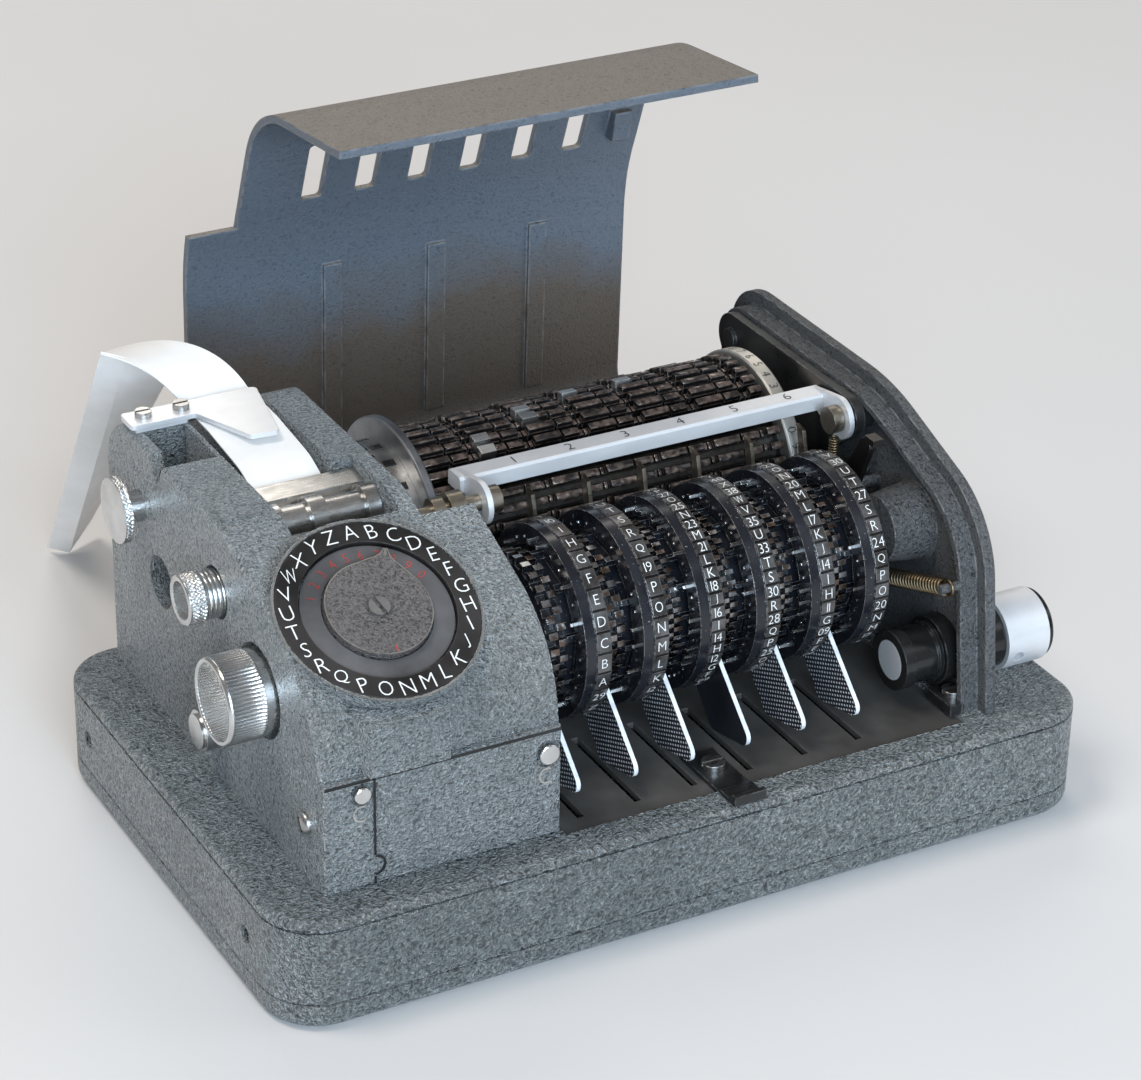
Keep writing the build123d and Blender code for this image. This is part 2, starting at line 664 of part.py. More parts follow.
def drum_cage():
    """Shaft, core and right flange of the drum, with the slotted sleeve round the bars' left ends."""
    with BuildPart() as cage:
        disc(-60.0, DRUM_Y, DRUM_Z, 3.0, ARM_RIGHT + 2 + 60.0)
        disc(SLEEVE_LEFT, DRUM_Y, DRUM_Z, SLEEVE_RADIUS, FLANGE_LEFT - SLEEVE_LEFT)
        disc(FLANGE_LEFT, DRUM_Y, DRUM_Z, CORE_RADIUS, DRUM_RIGHT_X - FLANGE_LEFT)
        disc(DRUM_RIGHT_X, DRUM_Y, DRUM_Z, 21.9, 4.1)
        # one slot in the sleeve for each bar
        with BuildSketch(side_plane(SLEEVE_LEFT)):
            with Locations((DRUM_Y, DRUM_Z)):
                with PolarLocations(SLEEVE_RADIUS - 0.6, BAR_COUNT, start_angle=BAR_PHASE):
                    Rectangle(2.4, 1.3)
        extrude(amount=9.0, mode=Mode.SUBTRACT)
    save(cage, "drum_cage")


def drum_flange():
    """Plain disc pressed on the core between the sleeve and the slide bars."""
    with BuildPart() as flange:
        disc(FLANGE_LEFT + 0.02, DRUM_Y, DRUM_Z, 29.3, DRUM_LEFT_X - FLANGE_LEFT - 0.02)
        chamfer(flange.edges().filter_by(GeomType.CIRCLE), 0.4)
        bore(FLANGE_LEFT - 1, DRUM_Y, DRUM_Z, CORE_RADIUS + 0.02, 5)
    save(flange, "drum_flange")


def index_ring():
    """Engraved ring at the drum's right end."""
    with BuildPart() as ring:
        disc(DRUM_RIGHT_X + 0.1, DRUM_Y, DRUM_Z, 26.5, 4.0)
        bore(DRUM_RIGHT_X, DRUM_Y, DRUM_Z, 21.9 + RUNNING_CLEARANCE, 5.0)
        chamfer(ring.edges().filter_by(GeomType.CIRCLE).group_by(SortBy.RADIUS)[-1], 0.4)
    save(ring, "index_ring")


def bar_profile(index):
    """Side view of slide bar index with its lugs, drawn along X and the bar's radius."""
    left = DRUM_LEFT_X + 0.1
    right = DRUM_RIGHT_X - 0.1
    points = [(left, CORE_RADIUS + 0.05), (left, BAR_TOP)]
    for wheel in range(-1, WHEEL_COUNT):
        start = FIRST_WHEEL_X + WHEEL_PITCH * wheel
        bright = (index, wheel) in BRIGHT_LUGS
        for low, high in ((BRIGHT_LUG[1] + 0.3 if bright else LONG_LUG[0], LONG_LUG[1]), SHORT_LUG):
            first = max(start + low, left + 0.5)
            last = min(start + high, right - 0.5)
            if last - first > 1.0:
                points += [(first, BAR_TOP), (first, LUG_RADIUS), (last, LUG_RADIUS), (last, BAR_TOP)]
    points += [(right, BAR_TOP), (right, CORE_RADIUS + 0.05)]
    return points


def bar_plane(index):
    """Plane through the drum's axis and slide bar index, drawn along X and the radius."""
    angle = radians(BAR_PHASE) + 2 * pi * index / BAR_COUNT
    return Plane(origin=(0, DRUM_Y, DRUM_Z), x_dir=(1, 0, 0), z_dir=(0, -sin(angle), cos(angle)))


def slide_bars():
    with BuildPart() as bars:
        pieces = []
        for index in range(BAR_COUNT):
            with BuildSketch(bar_plane(index)) as side:
                with BuildLine():
                    Polyline(*bar_profile(index), close=True)
                make_face()
            pieces.append(extrude(side.sketch, amount=BAR_WIDTH / 2, both=True, mode=Mode.PRIVATE))
        add(pieces)
    save(bars, "slide_bars")


def bright_lugs():
    """Steel lugs in place of the left end of a long lug: (bar, wheel) pairs."""
    length = BRIGHT_LUG[1] - BRIGHT_LUG[0]
    with BuildPart() as lugs:
        for index, wheel in BRIGHT_LUGS:
            middle = WHEEL_XS[wheel] + (BRIGHT_LUG[0] + BRIGHT_LUG[1]) / 2
            with BuildSketch(bar_plane(index)):
                with Locations((middle, (BAR_TOP + LUG_RADIUS) / 2 + 0.15)):
                    Rectangle(length, LUG_RADIUS - BAR_TOP + 0.2)
            extrude(amount=BAR_WIDTH / 2, both=True)
    save(lugs, "bright_lugs")


# ---------------------------------------------------------------- drive
def crank_hub():
    """Aluminium hub outside the side plate, with its shaft and the black barrel inside the plate."""
    with BuildPart() as hub:
        disc(93.3, CRANK_Y, CRANK_Z, 9.2, 12.0)
        disc(64.6, CRANK_Y, CRANK_Z, CRANK_BORE, 93.3 - 64.6)
        # cross hole for the crank handle's pin
        with BuildSketch(Plane(origin=(96.6, CRANK_Y, CRANK_Z), x_dir=(1, 0, 0), z_dir=(0, -0.94, -0.34))):
            Circle(1.5)
        extrude(amount=12, mode=Mode.SUBTRACT)
    save(hub, "crank_hub")


def crank_cap():
    with BuildPart() as cap:
        disc(105.3, CRANK_Y, CRANK_Z, 8.7, 1.7)
        chamfer(cap.edges().filter_by(GeomType.CIRCLE).sort_by(Axis.X)[-1], 0.5)
    save(cap, "crank_cap")


def crank_barrel():
    """Black clutch barrel on the hub's shaft, inside the side plate."""
    with BuildPart() as barrel:
        disc(64.6, CRANK_Y, CRANK_Z, 7.6, 3.0)
        disc(67.6, CRANK_Y, CRANK_Z, 7.0, 6.6)
        disc(74.2, CRANK_Y, CRANK_Z, 7.7, 1.2)
        bore(64.0, CRANK_Y, CRANK_Z, CRANK_BORE + RUNNING_CLEARANCE, 14)
    save(barrel, "crank_barrel")


def crank_bearing():
    """Bearing housing round the hub's shaft, on both sides of the side plate's web."""
    with BuildPart() as bearing:
        disc(75.6, CRANK_Y, CRANK_Z, 8.6, PLATE_WEB - 75.6)
        disc(PLATE_OUTER, CRANK_Y, CRANK_Z, 8.2, 93.1 - PLATE_OUTER)
        bore(70.0, CRANK_Y, CRANK_Z, CRANK_BORE + RUNNING_CLEARANCE, 30)
    save(bearing, "crank_bearing")


# ---------------------------------------------------------------- printing housing
HOUSING_RADII = (13.0, 20.0, 30.0)
HOUSING_BREAK_Y = -5.0
HOUSING_BROW = (-55.3, 76.6)
HOUSING_FRONT = -56.4
COVER_SPLIT_X = -81.3
COVER_TAB = (COVER_SPLIT_X, 33.6)
TAB_RADIUS = 2.3
FRONT_COVER_TOP = 57.2
FRONT_COVER_FACE = -57.6
BUTTON_LEFT = (-84.6, 53.1, 2.1)
BUTTON_RIGHT = (-38.2, 50.7, 2.6)
ROLLER_Y = 2.0
ROLLER_Z = 89.4
FEED_ROLLER_Y = 8.6
FEED_ROLLER_Z = 82.2
CHANNEL_LEFT = -79.0
CHANNEL_RIGHT = -57.5
CHANNEL_FLOOR = 88.0


def left_housing():
    with BuildPart() as housing:
        with BuildSketch(side_plane(HOUSING_LEFT)):
            with BuildLine():
                FilletPolyline((HOUSING_BACK, TRAY_TOP), (HOUSING_BACK, HOUSING_TOP),
                               (HOUSING_BREAK_Y, HOUSING_TOP), HOUSING_BROW, (HOUSING_FRONT, TRAY_TOP),
                               radius=HOUSING_RADII)
                Line((HOUSING_FRONT, TRAY_TOP), (HOUSING_BACK, TRAY_TOP))
            make_face()
        extrude(amount=HOUSING_RIGHT - HOUSING_LEFT)
        fillet(housing.faces().sort_by(Axis.X)[0].edges().filter_by_position(
            Axis.Z, TRAY_TOP + 1, HOUSING_TOP + 1), 1.5)
        # beside the drum the housing steps back to the left
        with BuildSketch(Plane.XY.offset(TRAY_TOP - 1)):
            with Locations((HOUSING_STEP_X + 20, HOUSING_STEP_Y + 50)):
                Rectangle(40, 100)
        extrude(amount=80, mode=Mode.SUBTRACT)
        # boss of the dial and the chin below it
        with BuildSketch(dial_plane(0)):
            Circle(DIAL_RADIUS)
        extrude(amount=-11, taper=6)
        with BuildSketch(front_plane(-50.0)):
            with Locations((-73.2, 63.2)):
                Rectangle(24.0, 17.6)
        extrude(amount=9.0, taper=14)
        # recess of the dial's rings
        with BuildSketch(dial_plane(0)):
            Circle(DIAL_RADIUS - 0.7)
        extrude(amount=-2.4, mode=Mode.SUBTRACT)
        # tape channel, roller pocket and the paper well with its notch
        with BuildSketch(Plane.XY.offset(HOUSING_TOP + 4)):
            with Locations(((CHANNEL_LEFT + CHANNEL_RIGHT) / 2, 38.0)):
                Rectangle(CHANNEL_RIGHT - CHANNEL_LEFT, 52.0)
        extrude(amount=-(HOUSING_TOP + 4 - CHANNEL_FLOOR), mode=Mode.SUBTRACT)
        with BuildSketch(Plane.XY.offset(HOUSING_TOP + 4)):
            with Locations(((-79.0 - 52.0) / 2, 1.7)):
                Rectangle(27.0, 25.4)
        extrude(amount=-24.0, mode=Mode.SUBTRACT)
        with BuildSketch(Plane.XY.offset(HOUSING_TOP + 4)):
            with Locations((-85.4, 37.5)):
                Rectangle(10.4, 19.0)
        extrude(amount=-30.0, mode=Mode.SUBTRACT)
        with BuildSketch(side_plane(HOUSING_LEFT - 1)):
            with BuildLine():
                Polyline((26.6, HOUSING_TOP + 3), (31.0, 90.6), (33.0, 90.6), (37.6, HOUSING_TOP + 3),
                         close=True)
            make_face()
        extrude(amount=6.0, mode=Mode.SUBTRACT)
        # seat of the two front covers
        with BuildSketch(front_plane(HOUSING_FRONT - 10)):
            with Locations(((HOUSING_LEFT + HOUSING_RIGHT) / 2, (TRAY_TOP + FRONT_COVER_TOP) / 2)):
                Rectangle(HOUSING_RIGHT - HOUSING_LEFT + 4, FRONT_COVER_TOP - TRAY_TOP)
        extrude(amount=-12.4, mode=Mode.SUBTRACT)
        # bores in the left face
        knob_bores = ((LETTER_KNOB_Y, LETTER_KNOB_Z, 11.3, 4.0), (MODE_KNOB_Y, MODE_KNOB_Z, 6.4, 4.0),
                      (31.4, 64.5, 6.5, 9.0))
        for y, z, radius, depth in knob_bores:
            bore(HOUSING_LEFT - 1, y, z, radius, depth + 1)
        shaft_bores = ((LETTER_KNOB_Y, LETTER_KNOB_Z, 3.5, 16.0), (MODE_KNOB_Y, MODE_KNOB_Z, 2.5, 12.0),
                       (FEED_KNOB_Y, FEED_KNOB_Z, 3.8, 3.0), (LOCK_SCREW_Y, LOCK_SCREW_Z, 2.0, 10.0))
        for y, z, radius, depth in shaft_bores:
            bore(HOUSING_LEFT - 1, y, z, radius + RUNNING_CLEARANCE, depth + 1)
        # bores of the rollers, the drum shaft and the dial's pivot
        bore(-82.0, ROLLER_Y, ROLLER_Z, 1.5 + RUNNING_CLEARANCE, 33)
        bore(-82.0, FEED_ROLLER_Y, FEED_ROLLER_Z, 1.2 + RUNNING_CLEARANCE, 33)
        bore(-61.0, DRUM_Y, DRUM_Z, 3.0 + RUNNING_CLEARANCE, 14)
        with BuildSketch(dial_plane(0)):
            Circle(2.0 + RUNNING_CLEARANCE)
        extrude(amount=-9, mode=Mode.SUBTRACT)
        for x, z, radius in (BUTTON_LEFT, BUTTON_RIGHT):
            with BuildSketch(front_plane(HOUSING_FRONT + 8)):
                with Locations((x, z)):
                    Circle(radius + RUNNING_CLEARANCE)
            extrude(amount=10, mode=Mode.SUBTRACT)
    save(housing, "left_housing")


def front_cover(name, left, right, button, tab_radius, tab_mode):
    """One of the two covers on the housing's lower front, with a round tab or its notch in the seam."""
    x, z, radius = button
    with BuildPart() as cover:
        with BuildSketch(front_plane(HOUSING_FRONT + 2.3)):
            with Locations(((left + right) / 2, (TRAY_TOP + FRONT_COVER_TOP) / 2)):
                Rectangle(right - left, FRONT_COVER_TOP - TRAY_TOP - 0.4)
            with Locations(COVER_TAB):
                Circle(tab_radius, mode=tab_mode)
        extrude(amount=HOUSING_FRONT + 2.3 - FRONT_COVER_FACE)
        chamfer(cover.faces().sort_by(Axis.Y)[0].edges(), 0.5)
        with BuildSketch(front_plane(FRONT_COVER_FACE - 1)):
            with Locations((x, z)):
                Circle(radius + 0.9)
        extrude(amount=-1.8, mode=Mode.SUBTRACT)
        with BuildSketch(front_plane(FRONT_COVER_FACE - 1)):
            with Locations((x, z)):
                Circle(radius + RUNNING_CLEARANCE)
        extrude(amount=-8, mode=Mode.SUBTRACT)
    save(cover, name)


def push_button(name, place):
    """Silver button that slides into the housing."""
    x, z, radius = place
    with BuildPart() as button:
        with BuildSketch(front_plane(-50.6)):
            with Locations((x, z)):
                Circle(radius)
        extrude(amount=8.2)
        fillet(button.faces().sort_by(Axis.Y)[0].edges(), 0.5)
    save(button, name)


def alphabet_ring():
    """Turning ring with the letters round it."""
    with BuildPart() as ring:
        with BuildSketch(dial_plane(-2.35)):
            Circle(DIAL_RADIUS - 0.9)
            Circle(18.0, mode=Mode.SUBTRACT)
        extrude(amount=2.25)
    save(ring, "alphabet_ring")


def number_ring():
    """Fixed grey ring inside the letters."""
    with BuildPart() as ring:
        with BuildSketch(dial_plane(-2.4)):
            Circle(17.6)
            Circle(12.8, mode=Mode.SUBTRACT)
        extrude(amount=1.3)
    save(ring, "number_ring")


def polar_point(radius, degrees):
    """Point at a radius and an angle in the plane of a sketch."""
    return (radius * cos(radians(degrees)), radius * sin(radians(degrees)))


def pointer_disc():
    """Pointer disc with a hollow-flanked nose that shows the chosen letter, on its pivot."""
    left_foot = polar_point(12.2, POINTER_ANGLE + 27)
    right_foot = polar_point(12.2, POINTER_ANGLE - 27)
    left_tip = polar_point(16.3, POINTER_ANGLE + 1.8)
    right_tip = polar_point(16.3, POINTER_ANGLE - 1.8)
    with BuildPart() as pointer:
        with BuildSketch(dial_plane(-2.3)):
            Circle(12.4)
        extrude(amount=1.4)
        with BuildSketch(dial_plane(-0.9)):
            Circle(12.4)
            with BuildLine():
                ThreePointArc(left_foot, polar_point(13.2, POINTER_ANGLE + 11), left_tip)
                Line(left_tip, right_tip)
                ThreePointArc(right_tip, polar_point(13.2, POINTER_ANGLE - 11), right_foot)
                Line(right_foot, left_foot)
            make_face()
        extrude(amount=1.5)
        with BuildSketch(dial_plane(-2.3)):
            Circle(2.0)
        extrude(amount=-5.5)
        with BuildSketch(dial_plane(0.6)):
            Circle(2.6)
            Rectangle(6.0, 0.8, rotation=POINTER_SLOT_ANGLE, mode=Mode.SUBTRACT)
        extrude(amount=0.7)
    save(pointer, "pointer_disc")


def letter_knob():
    """Cup-shaped knob that sets the letter."""
    with BuildPart() as knob:
        disc(-105.2, LETTER_KNOB_Y, LETTER_KNOB_Z, 10.3, 8.6)
        disc(-96.6, LETTER_KNOB_Y, LETTER_KNOB_Z, 10.1, 6.6)
        bore(-106.0, LETTER_KNOB_Y, LETTER_KNOB_Z, 8.9, 8.0)
        disc(-90.0, LETTER_KNOB_Y, LETTER_KNOB_Z, 3.5, 11.6)
    save(knob, "letter_knob")


def mode_knob():
    """Knurled sleeve knob of the selector."""
    with BuildPart() as knob:
        disc(-102.6, MODE_KNOB_Y, MODE_KNOB_Z, 6.0, 4.6)
        disc(-98.0, MODE_KNOB_Y, MODE_KNOB_Z, 5.7, 7.8)
        bore(-103.0, MODE_KNOB_Y, MODE_KNOB_Z, 4.4, 3.4)
        disc(-90.2, MODE_KNOB_Y, MODE_KNOB_Z, 2.5, 8.0)
    save(knob, "mode_knob")


def feed_knob():
    """Knurled disc knob that winds the tape on."""
    with BuildPart() as knob:
        disc(-100.8, FEED_KNOB_Y, FEED_KNOB_Z, 8.0, 2.6)
        chamfer(knob.edges().filter_by(GeomType.CIRCLE), 0.4)
        disc(-98.2, FEED_KNOB_Y, FEED_KNOB_Z, 3.8, 7.0)
    save(knob, "feed_knob")


def lock_screw():
    """Small knurled screw with a slotted clip on its end."""
    with BuildPart() as screw:
        disc(-98.6, LOCK_SCREW_Y, LOCK_SCREW_Z, 5.0, 4.4)
        disc(-99.4, LOCK_SCREW_Y, LOCK_SCREW_Z, 4.2, 0.8)
        disc(-94.2, LOCK_SCREW_Y, LOCK_SCREW_Z, 2.0, 9.0)
    save(screw, "lock_screw")


def type_wheel():
    """Printing roller across the tape, with its toothed ring and end flanges."""
    with BuildPart() as roller:
        disc(-78.6, ROLLER_Y, ROLLER_Z, 5.0, 2.2)
        disc(-76.4, ROLLER_Y, ROLLER_Z, 4.0, 6.6)
        disc(-69.8, ROLLER_Y, ROLLER_Z, 5.2, 4.2)
        disc(-65.6, ROLLER_Y, ROLLER_Z, 4.0, 9.6)
        disc(-56.0, ROLLER_Y, ROLLER_Z, 5.2, 3.4)
        disc(-81.0, ROLLER_Y, ROLLER_Z, 1.5, 31.0)
    save(roller, "type_wheel")


def tape_feed_roller():
    """Rubber roller below the tape, behind the printing roller."""
    with BuildPart() as roller:
        disc(-77.5, FEED_ROLLER_Y, FEED_ROLLER_Z, 3.4, 19.5)
        disc(-81.0, FEED_ROLLER_Y, FEED_ROLLER_Z, 1.2, 31.0)
    save(roller, "tape_feed_roller")


def tape_bar():
    """Bent bar that presses the tape on its rollers."""
    with BuildPart() as bar:
        with BuildSketch(side_plane(-79.0)):
            with BuildLine():
                Polyline((8.0, 92.6), (13.6, 93.6), (13.9, 92.6), (8.6, 91.6), (8.2, 89.0), (7.2, 89.2),
                         close=True)
            make_face()
        extrude(amount=27.0)
    save(bar, "tape_bar")


def tape_cover_plate():
    """Flush cover between the roller pocket and the paper well."""
    with BuildPart() as plate:
        with BuildSketch(Plane.XY.offset(HOUSING_TOP)):
            with BuildLine():
                Polyline((-92.0, -2.6), (-82.4, -2.6), (-79.6, 3.0), (-79.6, 17.0), (-82.4, 17.0),
                         (-92.0, 5.0), close=True)
            make_face()
        extrude(amount=0.5)
    save(plate, "tape_cover_plate")


GUIDE_BASE = HOUSING_TOP + 1.2


def tape_guide_plate():
    """Aluminium guide the tape runs out under, screwed on the housing's top."""
    with BuildPart() as guide:
        with BuildSketch(Plane.XY.offset(GUIDE_BASE)):
            with BuildLine():
                FilletPolyline((-93.6, 54.0), (-93.6, 46.4), (-77.4, 46.4), (-70.4, 30.2), (-63.4, 29.6),
                               (-58.8, 53.6), radius=1.2, close=True)
            make_face()
        extrude(amount=1.2)
        with BuildSketch(Plane.XY.offset(HOUSING_TOP)):
            with Locations((-85.7, 50.4)):
                Rectangle(13.0, 6.4)
        extrude(amount=1.2)
        with BuildSketch(Plane.XY.offset(HOUSING_TOP)):
            for x, y, z, head in SCREW_PLACES[2:]:
                with Locations((x, y)):
                    Circle(SCREW_SHANK + RUNNING_CLEARANCE)
        extrude(amount=4, mode=Mode.SUBTRACT)
    save(guide, "tape_guide_plate")


TAPE_WIDTH = 17.6
TAPE_LEFT = -77.0
TAPE_THICKNESS = 0.35
TAPE_LEAVES = Vector(TAPE_LEFT, 56.6, 96.6)        # left edge where the tape leaves the guide plate
TAPE_ARCH_PULL = Vector(-82.0, 62.0, 105.5)        # the arch bends toward this point
TAPE_FOLD = Vector(-90.9, 71.5, 106.1)             # left end of the fold at the top
TAPE_FOLD_LINE = Vector(0.322, 0.845, -0.427)      # direction of the fold
TAPE_END = Vector(-72.1, 169.0, 1.8)               # left corner of the loose end, above the table
TAPE_CREASE = 6.2                                  # distance of the lengthwise crease from the left edge
CREASE_BEND = 70.0                                 # how far the crease is bent at the loose end
FOLD_BEND = 3.0                                    # and just below the fold
ARCH_STEPS = 4
TAPE_OVERLAP = 0.004                               # share of the fall that reaches up into the arch


def tape_arch_section(share):
    """Thin rectangle across the arch, at a share of its length from the guide plate to the fold."""
    rest = 1 - share
    corner = TAPE_LEAVES * (rest * rest) + TAPE_ARCH_PULL * (2 * share * rest) + TAPE_FOLD * (share * share)
    heading = (TAPE_ARCH_PULL - TAPE_LEAVES) * rest + (TAPE_FOLD - TAPE_ARCH_PULL) * share
    lifted = Vector(0, 0.05, 0.22) * (4 * share * rest)
    across = (Vector(1, 0, 0) * rest + TAPE_FOLD_LINE * share + lifted).normalized()
    face_normal = across.cross(heading).normalized()
    return Plane(origin=corner, x_dir=across, z_dir=across.cross(face_normal))


def tape_fall_section(share, bend):
    """Creased strip across the falling tape, at a share of its fall, with its flap bent to the back."""
    fall = TAPE_END - TAPE_FOLD
    flap = TAPE_WIDTH - TAPE_CREASE
    c, s = cos(radians(bend)), sin(radians(bend))
    inner = TAPE_CREASE - TAPE_THICKNESS * s / (1 + c)
    tip = (TAPE_CREASE + flap * c, -flap * s)
    tip_inner = (tip[0] - TAPE_THICKNESS * s, tip[1] - TAPE_THICKNESS * c)
    with BuildSketch(Plane(origin=TAPE_FOLD + fall * share, x_dir=(0.77, -0.64, 0), z_dir=fall)) as section:
        with BuildLine():
            Polyline((0, 0), (TAPE_CREASE, 0), tip, tip_inner, (inner, -TAPE_THICKNESS),
                     (0, -TAPE_THICKNESS), close=True)
        make_face()
    return section.sketch


def paper_tape():
    """Printed tape: up from the rollers, under the guide, arched to the left and down to the table."""
    with BuildPart() as tape:
        with BuildSketch(side_plane(TAPE_LEFT)):
            with BuildLine() as guided:
                FilletPolyline((8.6, 85.7), (11.2, 90.3), (22.0, 94.4), (40.0, 96.2),
                               (TAPE_LEAVES.Y + 0.4, TAPE_LEAVES.Z), radius=(2, 20, 20))
                offset(amount=TAPE_THICKNESS, side=Side.LEFT)
            make_face()
        extrude(amount=TAPE_WIDTH)
        for step in range(ARCH_STEPS + 1):
            with BuildSketch(tape_arch_section(step / ARCH_STEPS)):
                with Locations((TAPE_WIDTH / 2, 0)):
                    Rectangle(TAPE_WIDTH, TAPE_THICKNESS)
        loft()
        under_fold = tape_fall_section(-TAPE_OVERLAP, FOLD_BEND).face()
        loose_end = tape_fall_section(1, CREASE_BEND).face()
        loft(sections=[under_fold, loose_end], ruled=True)
    save(tape, "paper_tape")


os.makedirs("parts", exist_ok=True)

tray_lower_pan()
tray_upper_shell()
floor_plate()
latch_strip()
slotted_screws()
lid()
lid_hinge()
right_side_plate()
drum_bearing_plate()
foot_bracket()
cross_rods()
pivot_pins()
coil_springs()
detent_lever()
number_bar()
for wheel_index in range(WHEEL_COUNT):
    pin_wheel(wheel_index)
    separator(wheel_index)
    sensing_arm(wheel_index)
drum_cage()
drum_flange()
index_ring()
slide_bars()
bright_lugs()
crank_hub()
crank_cap()
crank_barrel()
crank_bearing()
left_housing()
front_cover("front_cover_left", HOUSING_LEFT + 0.1, COVER_SPLIT_X - 0.1, BUTTON_LEFT, TAB_RADIUS, Mode.ADD)
front_cover("front_door", COVER_SPLIT_X + 0.1, HOUSING_RIGHT - 0.1, BUTTON_RIGHT, TAB_RADIUS + 0.2, Mode.SUBTRACT)
push_button("button_left", BUTTON_LEFT)
push_button("button_right", BUTTON_RIGHT)
alphabet_ring()
number_ring()
pointer_disc()
letter_knob()
mode_knob()
feed_knob()
lock_screw()
type_wheel()
tape_feed_roller()
tape_bar()
tape_cover_plate()
tape_guide_plate()
paper_tape()
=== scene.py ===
import bpy, bmesh, math, random
from mathutils import Matrix, Vector


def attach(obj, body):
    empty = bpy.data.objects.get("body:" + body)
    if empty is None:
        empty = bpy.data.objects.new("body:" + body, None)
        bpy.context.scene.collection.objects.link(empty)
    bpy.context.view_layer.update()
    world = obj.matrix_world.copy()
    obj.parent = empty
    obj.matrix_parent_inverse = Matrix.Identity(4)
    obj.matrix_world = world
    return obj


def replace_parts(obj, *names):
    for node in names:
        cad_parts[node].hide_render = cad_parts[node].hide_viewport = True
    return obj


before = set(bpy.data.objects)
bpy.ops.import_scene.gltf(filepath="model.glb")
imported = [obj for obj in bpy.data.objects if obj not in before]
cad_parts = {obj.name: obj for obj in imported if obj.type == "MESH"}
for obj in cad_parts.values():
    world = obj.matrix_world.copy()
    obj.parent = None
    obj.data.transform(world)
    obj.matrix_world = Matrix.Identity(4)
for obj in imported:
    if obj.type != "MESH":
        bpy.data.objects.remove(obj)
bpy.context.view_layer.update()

MM = 0.001
X_AXIS = Vector((1, 0, 0))
Y_AXIS = Vector((0, 1, 0))
FRONT = Vector((0, -1, 0))

# Pin wheels: places of the six wheels on their axle, and the steps of each
PITCH = 15.15                                   # mm
WHEELS = [(-14.4 + PITCH * i) * MM for i in range(6)]
STEPS = (29, 31, 47, 43, 41, 37)
WHEEL_Y, WHEEL_Z, WHEEL_R = -16.7 * MM, 59.2 * MM, 24.0 * MM
PIN_R = 20.4 * MM
PIN_SHARE = 0.36                                # share of the pins that stand out
NUMBERED = (                                    # steps that carry a number and not a letter
    (10, 20, 29),
    (6, 12, 19, 25, 31),
    (2, 5, 7, 9, 12, 14, 16, 18, 21, 23, 25, 27, 29, 31, 33, 36, 38, 40, 43, 45, 47),
    (3, 5, 8, 10, 13, 15, 18, 20, 23, 25, 28, 30, 33, 35, 38, 40, 43),
    (3, 6, 9, 11, 14, 17, 20, 23, 26, 29, 32, 34, 37, 39, 41),
    (3, 7, 10, 14, 17, 20, 24, 27, 30, 33, 37),
)
SHOWN = ((4, 156.0), (22, 98.0), (24, 106.2), (38, 96.6), (21, 94.4), (30, 92.6))   # a step and its angle

# Slide-bar drum
DRUM_Y, DRUM_Z = 33.5 * MM, 61.6 * MM
BARS, BAR_STEP, BAR_START = 40, 9.0, 6.7        # count and degrees
BAR_LEFT, BAR_RIGHT = -30.9, 65.3               # mm
BAR_ROOT, BAR_TOP = 19.75, 22.4                 # radii in mm
BAR_HALF = 0.95                                 # half a bar's thickness in mm
LUGS = ((0.0, 7.2, 25.6), (7.9, 12.2, 25.3), (12.5, 13.7, 23.9), (14.0, 15.0, 23.9))    # from, to, radius
BRIGHT = ((11, 0), (12, 0), (9, 1), (10, 1), (8, 2), (8, 3), (26, 3), (20, 4), (2, 4), (33, 2))  # bar, wheel
SLEEVE_END = -33.4 * MM
INDEX_X, INDEX_R, INDEX_START = 67.5 * MM, 26.5 * MM, 81.3

# Dial: centre, slope, and the angles of its letters, numbers and pointer
DIAL = Vector((-69.7, -36.0, 85.1)) * MM
DIAL_TILT = math.radians(28.8)
LETTER_R, LETTER_START = 20.8, 85.2
NUMBER_R, NUMBER_START, NUMBER_STEP = 15.1, 152.3, 14.12
NOSE = 61.5
NOSE_OUTLINE = ((12.9, -17), (13.4, -10), (14.5, -4.5), (16.1, -1.4),
                (16.1, 1.4), (14.5, 4.5), (13.4, 10), (12.9, 17))       # radius in mm, degrees from the nose
SCREW_SLOT, SCREW_SLOT_HALF = 105, 12           # degrees

# Front covers of the printing housing, in mm
COVER_Y = -57.63
COVER_SEAM_X = -81.3
# height of the painted shadow line under the boss, along the covers' top edge
COVER_SHADOW_Z = 56.35
TAB_Z, TAB_R = 33.6, 2.4
COVER_MARKS = ((-84.6, 48.0), (-38.4, 44.9))
MARK_R = 1.9

# Camera fitted to the photo: turn, pitch and roll in radians, shift in units of 21.6 mm
CAM_TURN, CAM_PITCH, CAM_ROLL = 0.507774, 0.494084, 0.019659
CAM_SHIFT, CAM_UNIT, CAM_LIFT = Vector((0.00719, -2.72481, 41.42393)), 21.6, 1.2
FOCAL_PX, PHOTO_PX, SENSOR_MM = 3611.76, 1141.0, 36.0


